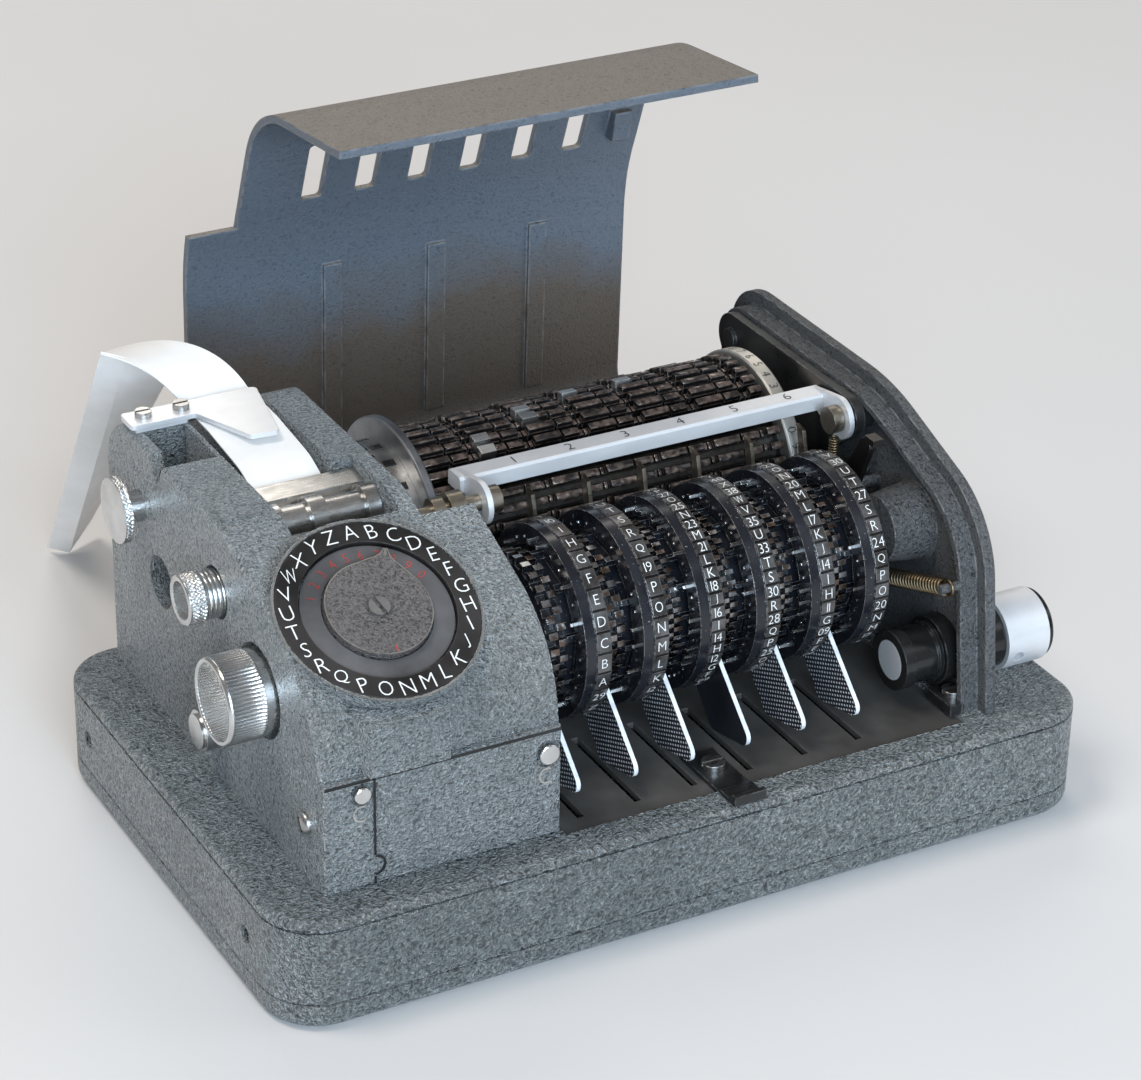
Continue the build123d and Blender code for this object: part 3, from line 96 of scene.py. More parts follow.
# ------------------------------------------------------------------ camera
def make_camera():
    """Camera at the photo's angle, from the fitted turn, pitch, roll and shift."""
    forward = Vector((math.sin(CAM_TURN) * math.cos(CAM_PITCH),
                      math.cos(CAM_TURN) * math.cos(CAM_PITCH), -math.sin(CAM_PITCH)))
    level = Vector((math.cos(CAM_TURN), -math.sin(CAM_TURN), 0))
    upright = level.cross(forward)
    c, s = math.cos(CAM_ROLL), math.sin(CAM_ROLL)
    right, up = level * c + upright * s, upright * c - level * s
    shift = CAM_SHIFT * CAM_UNIT
    eye = -(right * shift.x + up * shift.y + forward * shift.z)
    eye.z += CAM_LIFT
    cam = bpy.data.cameras.new("camera")
    cam.sensor_width = SENSOR_MM
    cam.lens = FOCAL_PX / PHOTO_PX * SENSOR_MM
    cam.clip_start, cam.clip_end = 0.05, 20
    ob = bpy.data.objects.new("camera", cam)
    bpy.context.scene.collection.objects.link(ob)
    turn = Matrix((right, up, -forward)).transposed().to_4x4()
    ob.matrix_world = Matrix.Translation(eye * MM) @ turn
    bpy.context.scene.camera = ob


# ------------------------------------------------------------------ material helpers
class Nodes:
    """A procedural material under construction, on object coordinates."""

    def __init__(self, name):
        self.mat = bpy.data.materials.new(name)
        self.mat.use_nodes = True
        self.t = self.mat.node_tree
        self.bsdf = self.t.nodes["Principled BSDF"]
        self.coord = self.t.nodes.new("ShaderNodeTexCoord")

    def add(self, kind, **values):
        n = self.t.nodes.new(kind)
        for k, v in values.items():
            if hasattr(n, k):
                setattr(n, k, v)
            else:
                n.inputs[k.replace("_", " ")].default_value = v
        return n

    def put(self, value, socket):
        """Link an output to a socket, or set the socket to a number or a colour."""
        if hasattr(value, "links"):
            self.t.links.new(value, socket)
        elif isinstance(value, tuple):
            socket.default_value = (*value, 1.0)
        else:
            socket.default_value = value

    def noise(self, scale, detail=3.0, rough=0.55, distortion=0.0):
        n = self.add("ShaderNodeTexNoise", Scale=scale, Detail=detail, Roughness=rough, Distortion=distortion)
        self.put(self.coord.outputs["Object"], n.inputs["Vector"])
        return n.outputs["Fac"]

    def axes(self, output="Object"):
        """X, Y and Z of the object coordinates, or of the normal."""
        n = self.add("ShaderNodeSeparateXYZ")
        self.put(self.coord.outputs[output], n.inputs["Vector"])
        return n.outputs["X"], n.outputs["Y"], n.outputs["Z"]

    def math(self, op, *values):
        n = self.add("ShaderNodeMath", operation=op)
        for i, v in enumerate(values):
            self.put(v, n.inputs[i])
        return n.outputs[0]

    def times(self, a, b):
        return self.math("MULTIPLY", a, b)

    def plus(self, a, b):
        return self.math("ADD", a, b)

    def length(self, a, b):
        """Square root of a squared plus b squared."""
        return self.math("SQRT", self.plus(self.times(a, a), self.times(b, b)))

    def radius(self, y0, z0):
        """Distance from the line along X through (y0, z0)."""
        _, y, z = self.axes()
        return self.length(self.math("SUBTRACT", y, y0), self.math("SUBTRACT", z, z0))

    def between(self, v, lo, hi):
        """1 where v lies between lo and hi."""
        return self.times(self.math("GREATER_THAN", v, lo), self.math("LESS_THAN", v, hi))

    def remap(self, fac, lo, hi, a=0.0, b=1.0):
        n = self.add("ShaderNodeMapRange", clamp=True)
        for k, v in (("From Min", lo), ("From Max", hi), ("To Min", a), ("To Max", b)):
            n.inputs[k].default_value = v
        self.put(fac, n.inputs["Value"])
        return n.outputs["Result"]

    def mix(self, fac, a, b):
        n = self.add("ShaderNodeMix", data_type="RGBA")
        self.put(fac, n.inputs["Factor"])
        self.put(a, n.inputs["A"])
        self.put(b, n.inputs["B"])
        return n.outputs["Result"]

    def edges(self, radius, lo=0.55, hi=0.97):
        """1 on sharp edges, 0 on flats."""
        bevel = self.add("ShaderNodeBevel", samples=4, Radius=radius)
        geometry = self.add("ShaderNodeNewGeometry")
        dot = self.add("ShaderNodeVectorMath", operation="DOT_PRODUCT")
        self.put(bevel.outputs["Normal"], dot.inputs[0])
        self.put(geometry.outputs["Normal"], dot.inputs[1])
        return self.remap(dot.outputs["Value"], hi, lo)

    def worn(self, radius, lo, speck, start, full, least, most):
        """Worn edges, broken up by a noise."""
        return self.times(self.edges(radius, lo, 0.99), self.remap(speck, start, full, least, most))

    def bump(self, height, strength, distance, bevel=0.0):
        n = self.add("ShaderNodeBump", Strength=strength, Distance=distance)
        self.put(height, n.inputs["Height"])
        if bevel:
            b = self.add("ShaderNodeBevel", samples=4, Radius=bevel)
            self.put(b.outputs["Normal"], n.inputs["Normal"])
        self.put(n.outputs["Normal"], self.bsdf.inputs["Normal"])

    def done(self, color, rough, metallic=0.0):
        self.put(color, self.bsdf.inputs["Base Color"])
        self.put(rough, self.bsdf.inputs["Roughness"])
        self.put(metallic, self.bsdf.inputs["Metallic"])
        return self.mat


def hammer_height(m, cell):
    """Height of hammered enamel: winding crests between small pits, with a fine grain on them."""
    n = m.noise(cell, 2.0, 0.6, 0.5)
    crest = m.math("SUBTRACT", 1.0, m.math("ABSOLUTE", m.math("MULTIPLY_ADD", n, 5.0, -2.5)))
    fine = m.noise(cell * 2.2, 2.0, 0.6, 0.3)
    return m.plus(crest, m.times(fine, 1.6)), fine


def hammertone(name, dark, light, cell, height, wear, rough=(0.26, 0.46), glint=0.0):
    """Hammered enamel with crests painted lighter and pits painted darker as painted highlight and shade of the
    relief, painted glints on the highest crests, uneven gloss and worn edges.
    """
    m = Nodes(name)
    h, fine = hammer_height(m, cell)
    painted_relief_tone = m.plus(h, m.times(m.noise(18, 3.0), 0.8))
    # painted highlight and shade: the colour follows the relief's height, lighter on the crests and darker in the
    # pits
    color = m.mix(m.remap(painted_relief_tone, 1.1, 2.1), dark, light)
    # painted glints: near-white flecks on the highest crests stand in for specular highlights
    if glint:
        color = m.mix(m.remap(painted_relief_tone, 2.05, 2.35), color, (glint, glint, glint * 0.97))
    if wear:
        color = m.mix(m.worn(0.0007, 0.7, m.noise(260, 3.0), 0.42, 0.62, 0, wear), color, (0.50, 0.48, 0.45))
    m.bump(h, 1.0, height, 0.0007)
    return m.done(color, m.remap(fine, 0.3, 0.7, *rough))


def enamel(name, base, vary, rough, wear, worn_to=(0.42, 0.40, 0.37)):
    """Smooth paint with scuffed edges and a fine orange-peel."""
    m = Nodes(name)
    cloud = m.noise(60, 5.0)
    high = tuple(min(1, c * (1 + vary) + 0.006) for c in base)
    low = tuple(c * (1 - vary) for c in base)
    color = m.mix(m.remap(cloud, 0.35, 0.65), low, high)
    if wear:
        color = m.mix(m.worn(0.00056, 0.72, m.noise(500, 4.0), 0.38, 0.62, 0, wear), color, worn_to)
    m.bump(m.noise(900, 3.0), 0.25, 0.00006, 0.00035)
    return m.done(color, m.remap(cloud, 0.3, 0.7, *rough))


def metal(name, base, rough=(0.22, 0.38), dirt=0.35, grain=1400, bevel=0.00025, metallic=1.0):
    """Machined or plated metal with fine scratches round it and dull dirty patches."""
    m = Nodes(name)
    stretch = m.add("ShaderNodeMapping")
    m.put(m.coord.outputs["Object"], stretch.inputs["Vector"])
    stretch.inputs["Scale"].default_value = (1.0, 6.0, 6.0)
    scratch = m.add("ShaderNodeTexNoise", Scale=grain / 6, Detail=5.0, Roughness=0.6)
    m.put(stretch.outputs["Vector"], scratch.inputs["Vector"])
    dull = tuple(c * (1 - dirt) for c in base)
    color = m.mix(m.remap(m.noise(120, 4.0), 0.3, 0.62), dull, base)
    m.bump(scratch.outputs["Fac"], 0.18, 0.00003, bevel)
    return m.done(color, m.remap(scratch.outputs["Fac"], 0.3, 0.7, *rough), metallic)


def wheel_material():
    """Black wheels with worn rims, steel teeth and a dark metal ring under the labels."""
    m = Nodes("wheel_black")
    x, _, _ = m.axes()
    turns = m.math("DIVIDE", m.math("SUBTRACT", x, WHEELS[0] - 11.0 * MM), PITCH * MM)
    along = m.times(m.math("FRACT", turns), PITCH)              # mm from each wheel's left
    r = m.radius(WHEEL_Y, WHEEL_Z)
    patch = m.noise(150, 4.0)
    speck = m.noise(900, 3.0)
    black = m.mix(m.remap(patch, 0.35, 0.7), (0.006, 0.007, 0.010), (0.016, 0.017, 0.022))
    dust = m.times(m.math("GREATER_THAN", speck, 0.69), 0.5)
    black = m.mix(dust, black, (0.30, 0.29, 0.27))
    plate = m.mix(m.remap(m.noise(190, 2.0), 0.42, 0.6), (0.10, 0.090, 0.082), (0.20, 0.19, 0.185))
    tooth = m.mix(m.remap(m.noise(330, 2.0), 0.42, 0.58), (0.16, 0.115, 0.09), (0.36, 0.36, 0.37))
    label = m.times(m.math("GREATER_THAN", along, 9.12), m.math("GREATER_THAN", r, 23.3 * MM))
    geared = m.times(m.math("LESS_THAN", along, 4.62), m.math("GREATER_THAN", r, 17.3 * MM))
    color = m.mix(label, black, m.mix(m.times(label, 0.1), (0.010, 0.010, 0.011), plate))
    color = m.mix(geared, color, tooth)
    worn = m.worn(0.00032, 0.75, speck, 0.40, 0.58, 0.0, 0.9)
    color = m.mix(worn, color, (0.58, 0.55, 0.52))
    shine = m.math("MAXIMUM", m.times(label, 0.75), m.math("MAXIMUM", geared, worn))
    m.bump(speck, 0.3, 0.00006, 0.00018)
    return m.done(color, m.remap(patch, 0.3, 0.7, 0.16, 0.30), shine)


def blade_material(name, dotted):
    """Black blades with a white front edge and, on their sides, staggered rows of white dots."""
    m = Nodes(name)
    _, y, z = m.axes()
    nx, ny, nz = m.axes("Normal")
    patch = m.noise(70, 4.0)
    color = m.mix(m.remap(patch, 0.3, 0.7), (0.008, 0.010, 0.014), (0.020, 0.023, 0.030))
    side = m.math("GREATER_THAN", m.math("ABSOLUTE", nx), 0.6)
    if dotted:
        down = m.plus(m.times(y, -0.805), m.times(z, -0.593))
        back = m.plus(m.times(y, 0.593), m.times(z, -0.805))
        row = m.plus(m.math("DIVIDE", back, 1.05 * MM), 500.0)
        odd = m.times(m.math("MODULO", m.math("FLOOR", row), 2.0), 0.5)
        a = m.math("SUBTRACT", m.math("FRACT", m.plus(m.math("DIVIDE", down, 1.25 * MM), odd)), 0.5)
        b = m.math("SUBTRACT", m.math("FRACT", row), 0.5)
        d = m.math("SQRT", m.plus(m.times(a, a), m.times(m.times(b, b), 0.72)))
        dot = m.times(m.remap(d, 0.26, 0.19), m.remap(patch, 0.30, 0.5, 0.45, 1.0))
        front = m.remap(back, -50.6 * MM, -51.6 * MM)
        low = m.remap(z, 45.0 * MM, 43.0 * MM, 0.0, 0.75)
        dot = m.times(m.times(dot, m.math("MAXIMUM", front, low)), side)
        color = m.mix(dot, color, (0.80, 0.81, 0.84))
    edge = m.times(m.math("SUBTRACT", 1.0, side), m.remap(nz, -0.92, -0.75))
    edge = m.times(edge, m.remap(ny, 0.2, -0.1))
    white = m.mix(m.remap(m.noise(400, 3.0), 0.4, 0.6), (0.66, 0.68, 0.72), (0.85, 0.86, 0.88))
    color = m.mix(edge, color, white)
    m.bump(m.noise(900, 3.0), 0.2, 0.00004, 0.0001)
    return m.done(color, m.remap(patch, 0.3, 0.7, 0.28, 0.42))


def label_material():
    """Small dark metal plates with worn bright edges."""
    m = Nodes("label_plates")
    speck = m.noise(800, 3.0)
    plate = m.mix(m.remap(m.noise(190, 2.0), 0.40, 0.62), (0.075, 0.068, 0.064), (0.175, 0.17, 0.17))
    color = m.mix(m.worn(0.00022, 0.78, speck, 0.36, 0.56, 0.1, 1.0), plate, (0.60, 0.58, 0.56))
    m.bump(speck, 0.25, 0.00005, 0.00012)
    return m.done(color, m.remap(speck, 0.3, 0.7, 0.22, 0.38), 0.8)


def bar_material():
    """Glossy black slide bars, worn brown and bright on top of their lugs."""
    m = Nodes("bar_black")
    r = m.radius(DRUM_Y, DRUM_Z)
    speck = m.noise(700, 3.0)
    patch = m.noise(210, 3.0)
    tall = m.times(m.remap(r, 25.1 * MM, 25.25 * MM), m.remap(patch, 0.40, 0.56, 0.1, 0.85))
    nub = m.times(m.between(r, 23.75 * MM, 24.2 * MM), m.remap(patch, 0.40, 0.56, 0.2, 0.9))
    top = m.math("MAXIMUM", tall, nub)
    brown = m.mix(m.remap(speck, 0.35, 0.62), (0.07, 0.046, 0.036), (0.26, 0.20, 0.17))
    color = m.mix(top, (0.008, 0.007, 0.007), brown)
    worn = m.worn(0.0003, 0.75, speck, 0.44, 0.6, 0.0, 0.9)
    color = m.mix(worn, color, (0.50, 0.46, 0.43))
    m.bump(speck, 0.25, 0.00005, 0.0002)
    return m.done(color, m.remap(patch, 0.3, 0.7, 0.12, 0.26), m.math("MAXIMUM", worn, m.times(top, 0.7)))


def drum_material():
    """Silver sleeve at the drum's left, dark oiled core under the bars."""
    m = Nodes("drum_silver")
    x, _, _ = m.axes()
    patch = m.noise(150, 4.0)
    speck = m.noise(800, 3.0)
    sleeve = m.math("LESS_THAN", x, SLEEVE_END)
    silver = m.mix(m.remap(patch, 0.35, 0.6), (0.42, 0.41, 0.39), (0.74, 0.73, 0.71))
    core = m.mix(m.remap(speck, 0.35, 0.65), (0.008, 0.007, 0.006), (0.040, 0.028, 0.020))
    m.bump(speck, 0.2, 0.00004, 0.00025)
    return m.done(m.mix(sleeve, core, silver), m.remap(patch, 0.3, 0.7, 0.25, 0.4), sleeve)


def lid_material():
    """Lid enamel: inside brownish toward the hinge and turning blue-grey toward its top as a painted sky reflection,
    lighter on the crests of the relief as a painted highlight; warm grey outside.
    """
    m = Nodes("lid_enamel")
    h, fine = hammer_height(m, 760)
    _, _, z = m.axes()
    height = m.plus(z, m.times(m.math("SUBTRACT", m.noise(22, 4.0), 0.5), 0.05))
    # painted reflection: the upper inside is blended to blue-grey, standing in for a reflection of the sky; both
    # inside tones also follow the relief's height, lighter on the crests as painted highlight
    slate_reflection = m.mix(m.remap(h, 0.5, 1.7), (0.072, 0.087, 0.110), (0.112, 0.132, 0.158))
    earth = m.mix(m.remap(h, 0.5, 1.7), (0.082, 0.062, 0.048), (0.112, 0.088, 0.070))
    color = m.mix(m.remap(height, 0.070, 0.088), earth, slate_reflection)
    outside = m.mix(m.remap(h, 0.5, 1.8), (0.070, 0.060, 0.050), (0.190, 0.165, 0.140))
    _, ny, nz = m.axes("Normal")
    color = m.mix(m.math("MAXIMUM", m.remap(ny, 0.2, 0.5), m.remap(nz, 0.2, 0.5)), color, outside)
    color = m.mix(m.worn(0.0009, 0.75, m.noise(220, 3.0), 0.38, 0.6, 0.05, 0.7), color, (0.42, 0.42, 0.42))
    m.bump(h, 0.35, 0.0003, 0.0009)
    return m.done(color, m.remap(fine, 0.3, 0.7, 0.36, 0.5))


def paper_material():
    m = Nodes("paper")
    color = m.mix(m.remap(m.noise(90, 4.0), 0.35, 0.7), (0.80, 0.79, 0.77), (0.87, 0.86, 0.85))
    m.bump(m.noise(1800, 3.0), 0.15, 0.00004)
    return m.done(color, 0.75)


def build_materials():
    return {
        "tray": hammertone("tray_enamel", (0.165, 0.180, 0.180), (0.410, 0.438, 0.438), 620, 0.0040, 0.0,
                           (0.12, 0.26), 0.72),
        "housing": hammertone("housing_enamel", (0.290, 0.312, 0.315), (0.570, 0.600, 0.602), 760, 0.0034, 0.5,
                              (0.12, 0.25), 0.85),
        "plate": hammertone("plate_enamel", (0.028, 0.029, 0.029), (0.108, 0.109, 0.110), 900, 0.0003, 0.9),
        "pointer": hammertone("pointer_enamel", (0.042, 0.036, 0.034), (0.150, 0.132, 0.124), 900, 0.0003, 0.0,
                              (0.4, 0.55)),
        "lid": lid_material(),
        "wheel": wheel_material(),
        "bars": bar_material(),
        "drum": drum_material(),
        "label_plate": label_material(),
        "blade": blade_material("blade_dotted", True),
        "blade_plain": blade_material("blade_plain", False),
        "paper": paper_material(),
        # name, colour, variation, roughness, wear
        "floor_dark": enamel("floor_paint", (0.074, 0.069, 0.064), 0.25, (0.30, 0.45), 0.3),
        "black": enamel("black_paint", (0.012, 0.012, 0.012), 0.4, (0.22, 0.36), 0.5),
        "gloss_black": enamel("gloss_black", (0.008, 0.008, 0.008), 0.3, (0.10, 0.18), 0.25, (0.25, 0.24, 0.22)),
        "dial_black": enamel("dial_black", (0.018, 0.015, 0.014), 0.5, (0.32, 0.45), 0.3, (0.2, 0.18, 0.16)),
        "dial_grey": enamel("dial_grey", (0.085, 0.08, 0.08), 0.3, (0.4, 0.55), 0.3),
        "rubber": enamel("rubber", (0.02, 0.02, 0.02), 0.3, (0.6, 0.75), 0.0),
        # near-black for the dark joints and the screw slot, and for the painted shadow line under the covers' top
        # edge
        "gap": enamel("joint_shadow", (0.006, 0.006, 0.006), 0.3, (0.5, 0.6), 0.0),
        "white_fill": enamel("letter_white", (0.80, 0.79, 0.76), 0.06, (0.45, 0.6), 0.0),
        "red_fill": enamel("number_red", (0.42, 0.045, 0.035), 0.3, (0.45, 0.6), 0.0),
        "black_fill": enamel("letter_black", (0.012, 0.012, 0.014), 0.2, (0.45, 0.6), 0.0),
        # name, colour, roughness, dirt
        "steel": metal("steel", (0.56, 0.55, 0.53)),
        "dark_steel": metal("dark_steel", (0.12, 0.11, 0.105), (0.3, 0.45)),
        "nickel": metal("nickel", (0.72, 0.72, 0.71), (0.14, 0.28), 0.25),
        "aluminium": metal("aluminium", (0.78, 0.78, 0.79), (0.42, 0.55), 0.06, grain=700, metallic=0.55),
        "arm": metal("arm_steel", (0.42, 0.36, 0.28), (0.26, 0.4), 0.45, bevel=0.0003),
        "brass": metal("brass", (0.36, 0.32, 0.26), (0.28, 0.42)),
        "bright": metal("bright_steel", (0.92, 0.92, 0.90), (0.25, 0.4), 0.1),
        "cream": metal("index_silver", (0.74, 0.71, 0.65), (0.42, 0.55), 0.12),
        "flange": metal("flange_grey", (0.34, 0.35, 0.37), (0.35, 0.5), 0.3),
        "bronze": metal("spring_bronze", (0.24, 0.18, 0.11), (0.3, 0.42)),
        "pale_edge": metal("pale_edge", (0.62, 0.60, 0.56), (0.3, 0.45)),
    }


# Material of every CAD node
LOOKS = {
    "tray": ("tray_lower_pan", "tray_upper_shell"),
    "housing": ("left_housing", "front_cover_left", "front_door", "tape_cover_plate"),
    "lid": ("lid",),
    "plate": ("right_side_plate",),
    "floor_dark": ("floor_plate",),
    "black": ("latch_strip", "drum_bearing_plate", "foot_bracket", "lid_hinge"),
    "gloss_black": ("crank_barrel", "crank_bearing", "crank_cap"),
    "bars": ("slide_bars",),
    "steel": ("tape_bar", "type_wheel", "slotted_screws"),
    "bright": ("bright_lugs",),
    "cream": ("index_ring",),
    "flange": ("drum_flange",),
    "drum": ("drum_cage",),
    "nickel": ("letter_knob", "mode_knob", "feed_knob", "lock_screw", "button_left", "button_right"),
    "aluminium": ("number_bar", "tape_guide_plate", "crank_hub"),
    "brass": ("pivot_pins",),
    "bronze": ("coil_springs",),
    "dark_steel": ("detent_lever", "cross_rods"),
    "dial_black": ("alphabet_ring",),
    "dial_grey": ("number_ring",),
    "pointer": ("pointer_disc",),
    "rubber": ("tape_feed_roller",),
    "paper": ("paper_tape",),
    "wheel": ["pin_wheel_%d" % i for i in range(1, 7)],
    "blade": ["separator_%d" % i for i in (1, 2, 3, 5, 6)],
    "blade_plain": ("separator_4",),
    "arm": ["sensing_arm_%d" % i for i in range(1, 7)],
}


def paint_nodes(M):
    for key, nodes in LOOKS.items():
        for node in nodes:
            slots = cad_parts[node].data.materials
            slots.clear()
            slots.append(M[key])


# ------------------------------------------------------------------ mesh helpers
def new_piece(name, bm, body, material, angle=None):
    """Make an object of the mesh, riding a body; with an angle, it is smooth up to that many degrees."""
    me = bpy.data.meshes.new(name)
    bm.normal_update()
    bm.to_mesh(me)
    bm.free()
    ob = bpy.data.objects.new(name, me)
    bpy.context.scene.collection.objects.link(ob)
    me.materials.append(material)
    if angle:
        me.polygons.foreach_set("use_smooth", [True] * len(me.polygons))
        me.set_sharp_from_angle(angle=math.radians(angle))
    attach(ob, body)
    return ob


def around(a):
    """Outward and sideways directions at an angle in radians about a line along X."""
    return Vector((0, math.cos(a), math.sin(a))), Vector((0, -math.sin(a), math.cos(a)))


def block(bm, centre, axes, sizes):
    """Box with the given axes and full sizes."""
    vs = []
    for sx in (-1, 1):
        for sy in (-1, 1):
            for sz in (-1, 1):
                vs.append(bm.verts.new(centre + axes[0] * (sx * sizes[0] / 2) + axes[1] * (sy * sizes[1] / 2)
                                       + axes[2] * (sz * sizes[2] / 2)))
    for f in ((0, 1, 3, 2), (4, 6, 7, 5), (0, 4, 5, 1), (2, 3, 7, 6), (0, 2, 6, 4), (1, 5, 7, 3)):
        bm.faces.new([vs[i] for i in f])


def strip(bm, points, width, normal, closed=False):
    """Flat ribbon of the given width along the points, lying across the normal."""
    n = len(points)
    inner, outer = [], []
    for i, p in enumerate(points):
        after = points[(i + 1) % n] if closed or i < n - 1 else p
        before = points[i - 1] if closed or i > 0 else p
        side = (after - before).normalized().cross(normal) * (width / 2)
        inner.append(bm.verts.new(p - side))
        outer.append(bm.verts.new(p + side))
    for i in range(n if closed else n - 1):
        j = (i + 1) % n
        f = bm.faces.new((inner[i], outer[i], outer[j], inner[j]))
        if f.normal.dot(normal) < 0:
            f.normal_flip()
    return bm


# ------------------------------------------------------------------ letters
_glyphs = {}


def glyph(ch):
    """Points, faces and width of one character, centred and one unit high."""
    if ch not in _glyphs:
        cu = bpy.data.curves.new("glyph", "FONT")
        cu.body = ch
        cu.align_x, cu.align_y = "CENTER", "CENTER"
        cu.resolution_u = 3
        cu.fill_mode = "FRONT"
        cu.offset = -0.014                      # thinner strokes
        ob = bpy.data.objects.new("glyph", cu)
        bpy.context.scene.collection.objects.link(ob)
        me = bpy.data.meshes.new_from_object(ob)
        bpy.data.objects.remove(ob)
        bpy.data.curves.remove(cu)
        xs = [v.co.x for v in me.vertices]
        ys = [v.co.y for v in me.vertices]
        h = max(ys) - min(ys)
        cx, cy = (max(xs) + min(xs)) / 2, (max(ys) + min(ys)) / 2
        _glyphs[ch] = ([((v.co.x - cx) / h, (v.co.y - cy) / h) for v in me.vertices],
                       [tuple(p.vertices) for p in me.polygons], (max(xs) - min(xs)) / h)
        bpy.data.meshes.remove(me)
    return _glyphs[ch]


def put_text(bm, text, origin, across, up, height, gap=0.18, squeeze=1.0, depth=0.00008):
    """Add text as flat letters just over a surface; across and up are unit vectors."""
    widest = 0.86                               # of the height
    lift = across.cross(up) * depth
    narrow = [min(squeeze, widest / glyph(c)[2]) for c in text]
    widths = [glyph(c)[2] * height * k for c, k in zip(text, narrow)]
    x = -(sum(widths) + gap * height * (len(text) - 1)) / 2
    for c, w, k in zip(text, widths, narrow):
        points, faces, _ = glyph(c)
        vs = [bm.verts.new(origin + across * (x + w / 2 + px * height * k) + up * (py * height) + lift)
              for px, py in points]
        for f in faces:
            bm.faces.new([vs[i] for i in f])
        x += w + gap * height


# ------------------------------------------------------------------ dial
DIAL_X = X_AXIS
DIAL_UP = Vector((0, math.cos(DIAL_TILT), math.sin(DIAL_TILT)))
DIAL_OUT = Vector((0, -math.sin(DIAL_TILT), math.cos(DIAL_TILT)))


def dial_direction(degrees):
    a = math.radians(degrees)
    return DIAL_X * math.cos(a) + DIAL_UP * math.sin(a)


def dial_point(radius, degrees, height):
    """Point on the dial from a radius and height in mm."""
    return DIAL + dial_direction(degrees) * (radius * MM) + DIAL_OUT * (height * MM)


def dial_patch(bm, radius, degrees, height, width, length):
    """Small rectangle on the dial, long along the radius; sizes in mm."""
    p = dial_point(radius, degrees, height)
    out = dial_direction(degrees)
    side = DIAL_OUT.cross(out)
    bm.faces.new([bm.verts.new(p + side * (sx * width * MM / 2) + out * (sy * length * MM / 2))
                  for sx, sy in ((1, -1), (1, 1), (-1, 1), (-1, -1))])


def build_dial(M):
    """White letters, red numbers, and the pointer's pale edge and screw."""
    bm = bmesh.new()
    for i in range(26):
        place = dial_point(LETTER_R, LETTER_START - i * 360 / 26, -0.1)
        put_text(bm, chr(65 + i), place, DIAL_X, DIAL_UP, 3.7 * MM, squeeze=0.92)
    new_piece("dial_letters", bm, "alphabet_ring", M["white_fill"])
    bm = bmesh.new()
    for i, ch in enumerate("1234567890"):
        degrees = NUMBER_START - i * NUMBER_STEP
        out = dial_direction(degrees)
        put_text(bm, ch, dial_point(NUMBER_R, degrees, -1.1), out.cross(DIAL_OUT), out, 2.4 * MM, squeeze=0.85)
    dial_patch(bm, 11.0, 268.0, 0.62, 0.35, 1.6)
    new_piece("dial_numbers", bm, "chassis", M["red_fill"])
    path = [dial_point(12.25, a, 0.61) for a in range(int(NOSE) + 30, int(NOSE) + 332, 6)]
    path += [dial_point(r, NOSE + a, 0.61) for r, a in NOSE_OUTLINE]
    bm = strip(bmesh.new(), path, 0.28 * MM, DIAL_OUT, closed=True)
    dial_patch(bm, 15.2, NOSE, 0.62, 0.55, 1.7)
    new_piece("pointer_edge", bm, "pointer_disc", M["pale_edge"])
    bm = bmesh.new()
    for half in (0, 180):                       # the screw's two halves, beside its slot
        start, sweep = SCREW_SLOT + half + SCREW_SLOT_HALF, 180 - 2 * SCREW_SLOT_HALF
        bm.faces.new([bm.verts.new(dial_point(2.5, start + sweep * k / 12, 1.33)) for k in range(13)])
    new_piece("pointer_screw", bm, "pointer_disc", M["nickel"])
    rim = [dial_point(23.85, a, 0.02) for a in range(0, 360, 4)]
    bm = strip(bmesh.new(), rim, 0.35 * MM, DIAL_OUT, closed=True)
    dial_patch(bm, 23.6, 2.0, 0.05, 0.9, 0.9)
    new_piece("dial_rim", bm, "chassis", M["pale_edge"])


# ------------------------------------------------------------------ pin wheels
def build_wheel_labels(M):
    """Dark plates round each wheel, with their letters and numbers."""
    for i, (steps, numbered, (shown, at)) in enumerate(zip(STEPS, NUMBERED, SHOWN)):
        labels, plates = bmesh.new(), bmesh.new()
        letters = iter("ABCDEFGHIJKLMNOPQRSTUVWXYZ")
        middle = Vector((WHEELS[i], WHEEL_Y, WHEEL_Z))
        room = 2 * math.pi * WHEEL_R / steps
        top = WHEEL_R * math.cos(math.pi * 0.84 / steps)
        for p in range(1, steps + 1):
            text = "%02d" % p if p in numbered else next(letters)
            out, side = around(math.radians(at + (shown - p) * 360.0 / steps))
            up = -side
            block(plates, middle + out * (top - 0.35 * MM), (X_AXIS, out, up), (3.7 * MM, 0.7 * MM, room - 0.5 * MM))
            put_text(labels, text, middle + out * top, X_AXIS, up, min(2.35 * MM, room * 0.70),
                     squeeze=0.95, gap=0.14)
        bmesh.ops.recalc_face_normals(plates, faces=plates.faces)
        bmesh.ops.bevel(plates, geom=list(plates.edges), offset=0.12 * MM, segments=1, affect="EDGES")
        body = "pin_wheel_%d" % (i + 1)
        new_piece("label_plates_%d" % (i + 1), plates, body, M["label_plate"])
        new_piece("labels_%d" % (i + 1), labels, body, M["white_fill"])


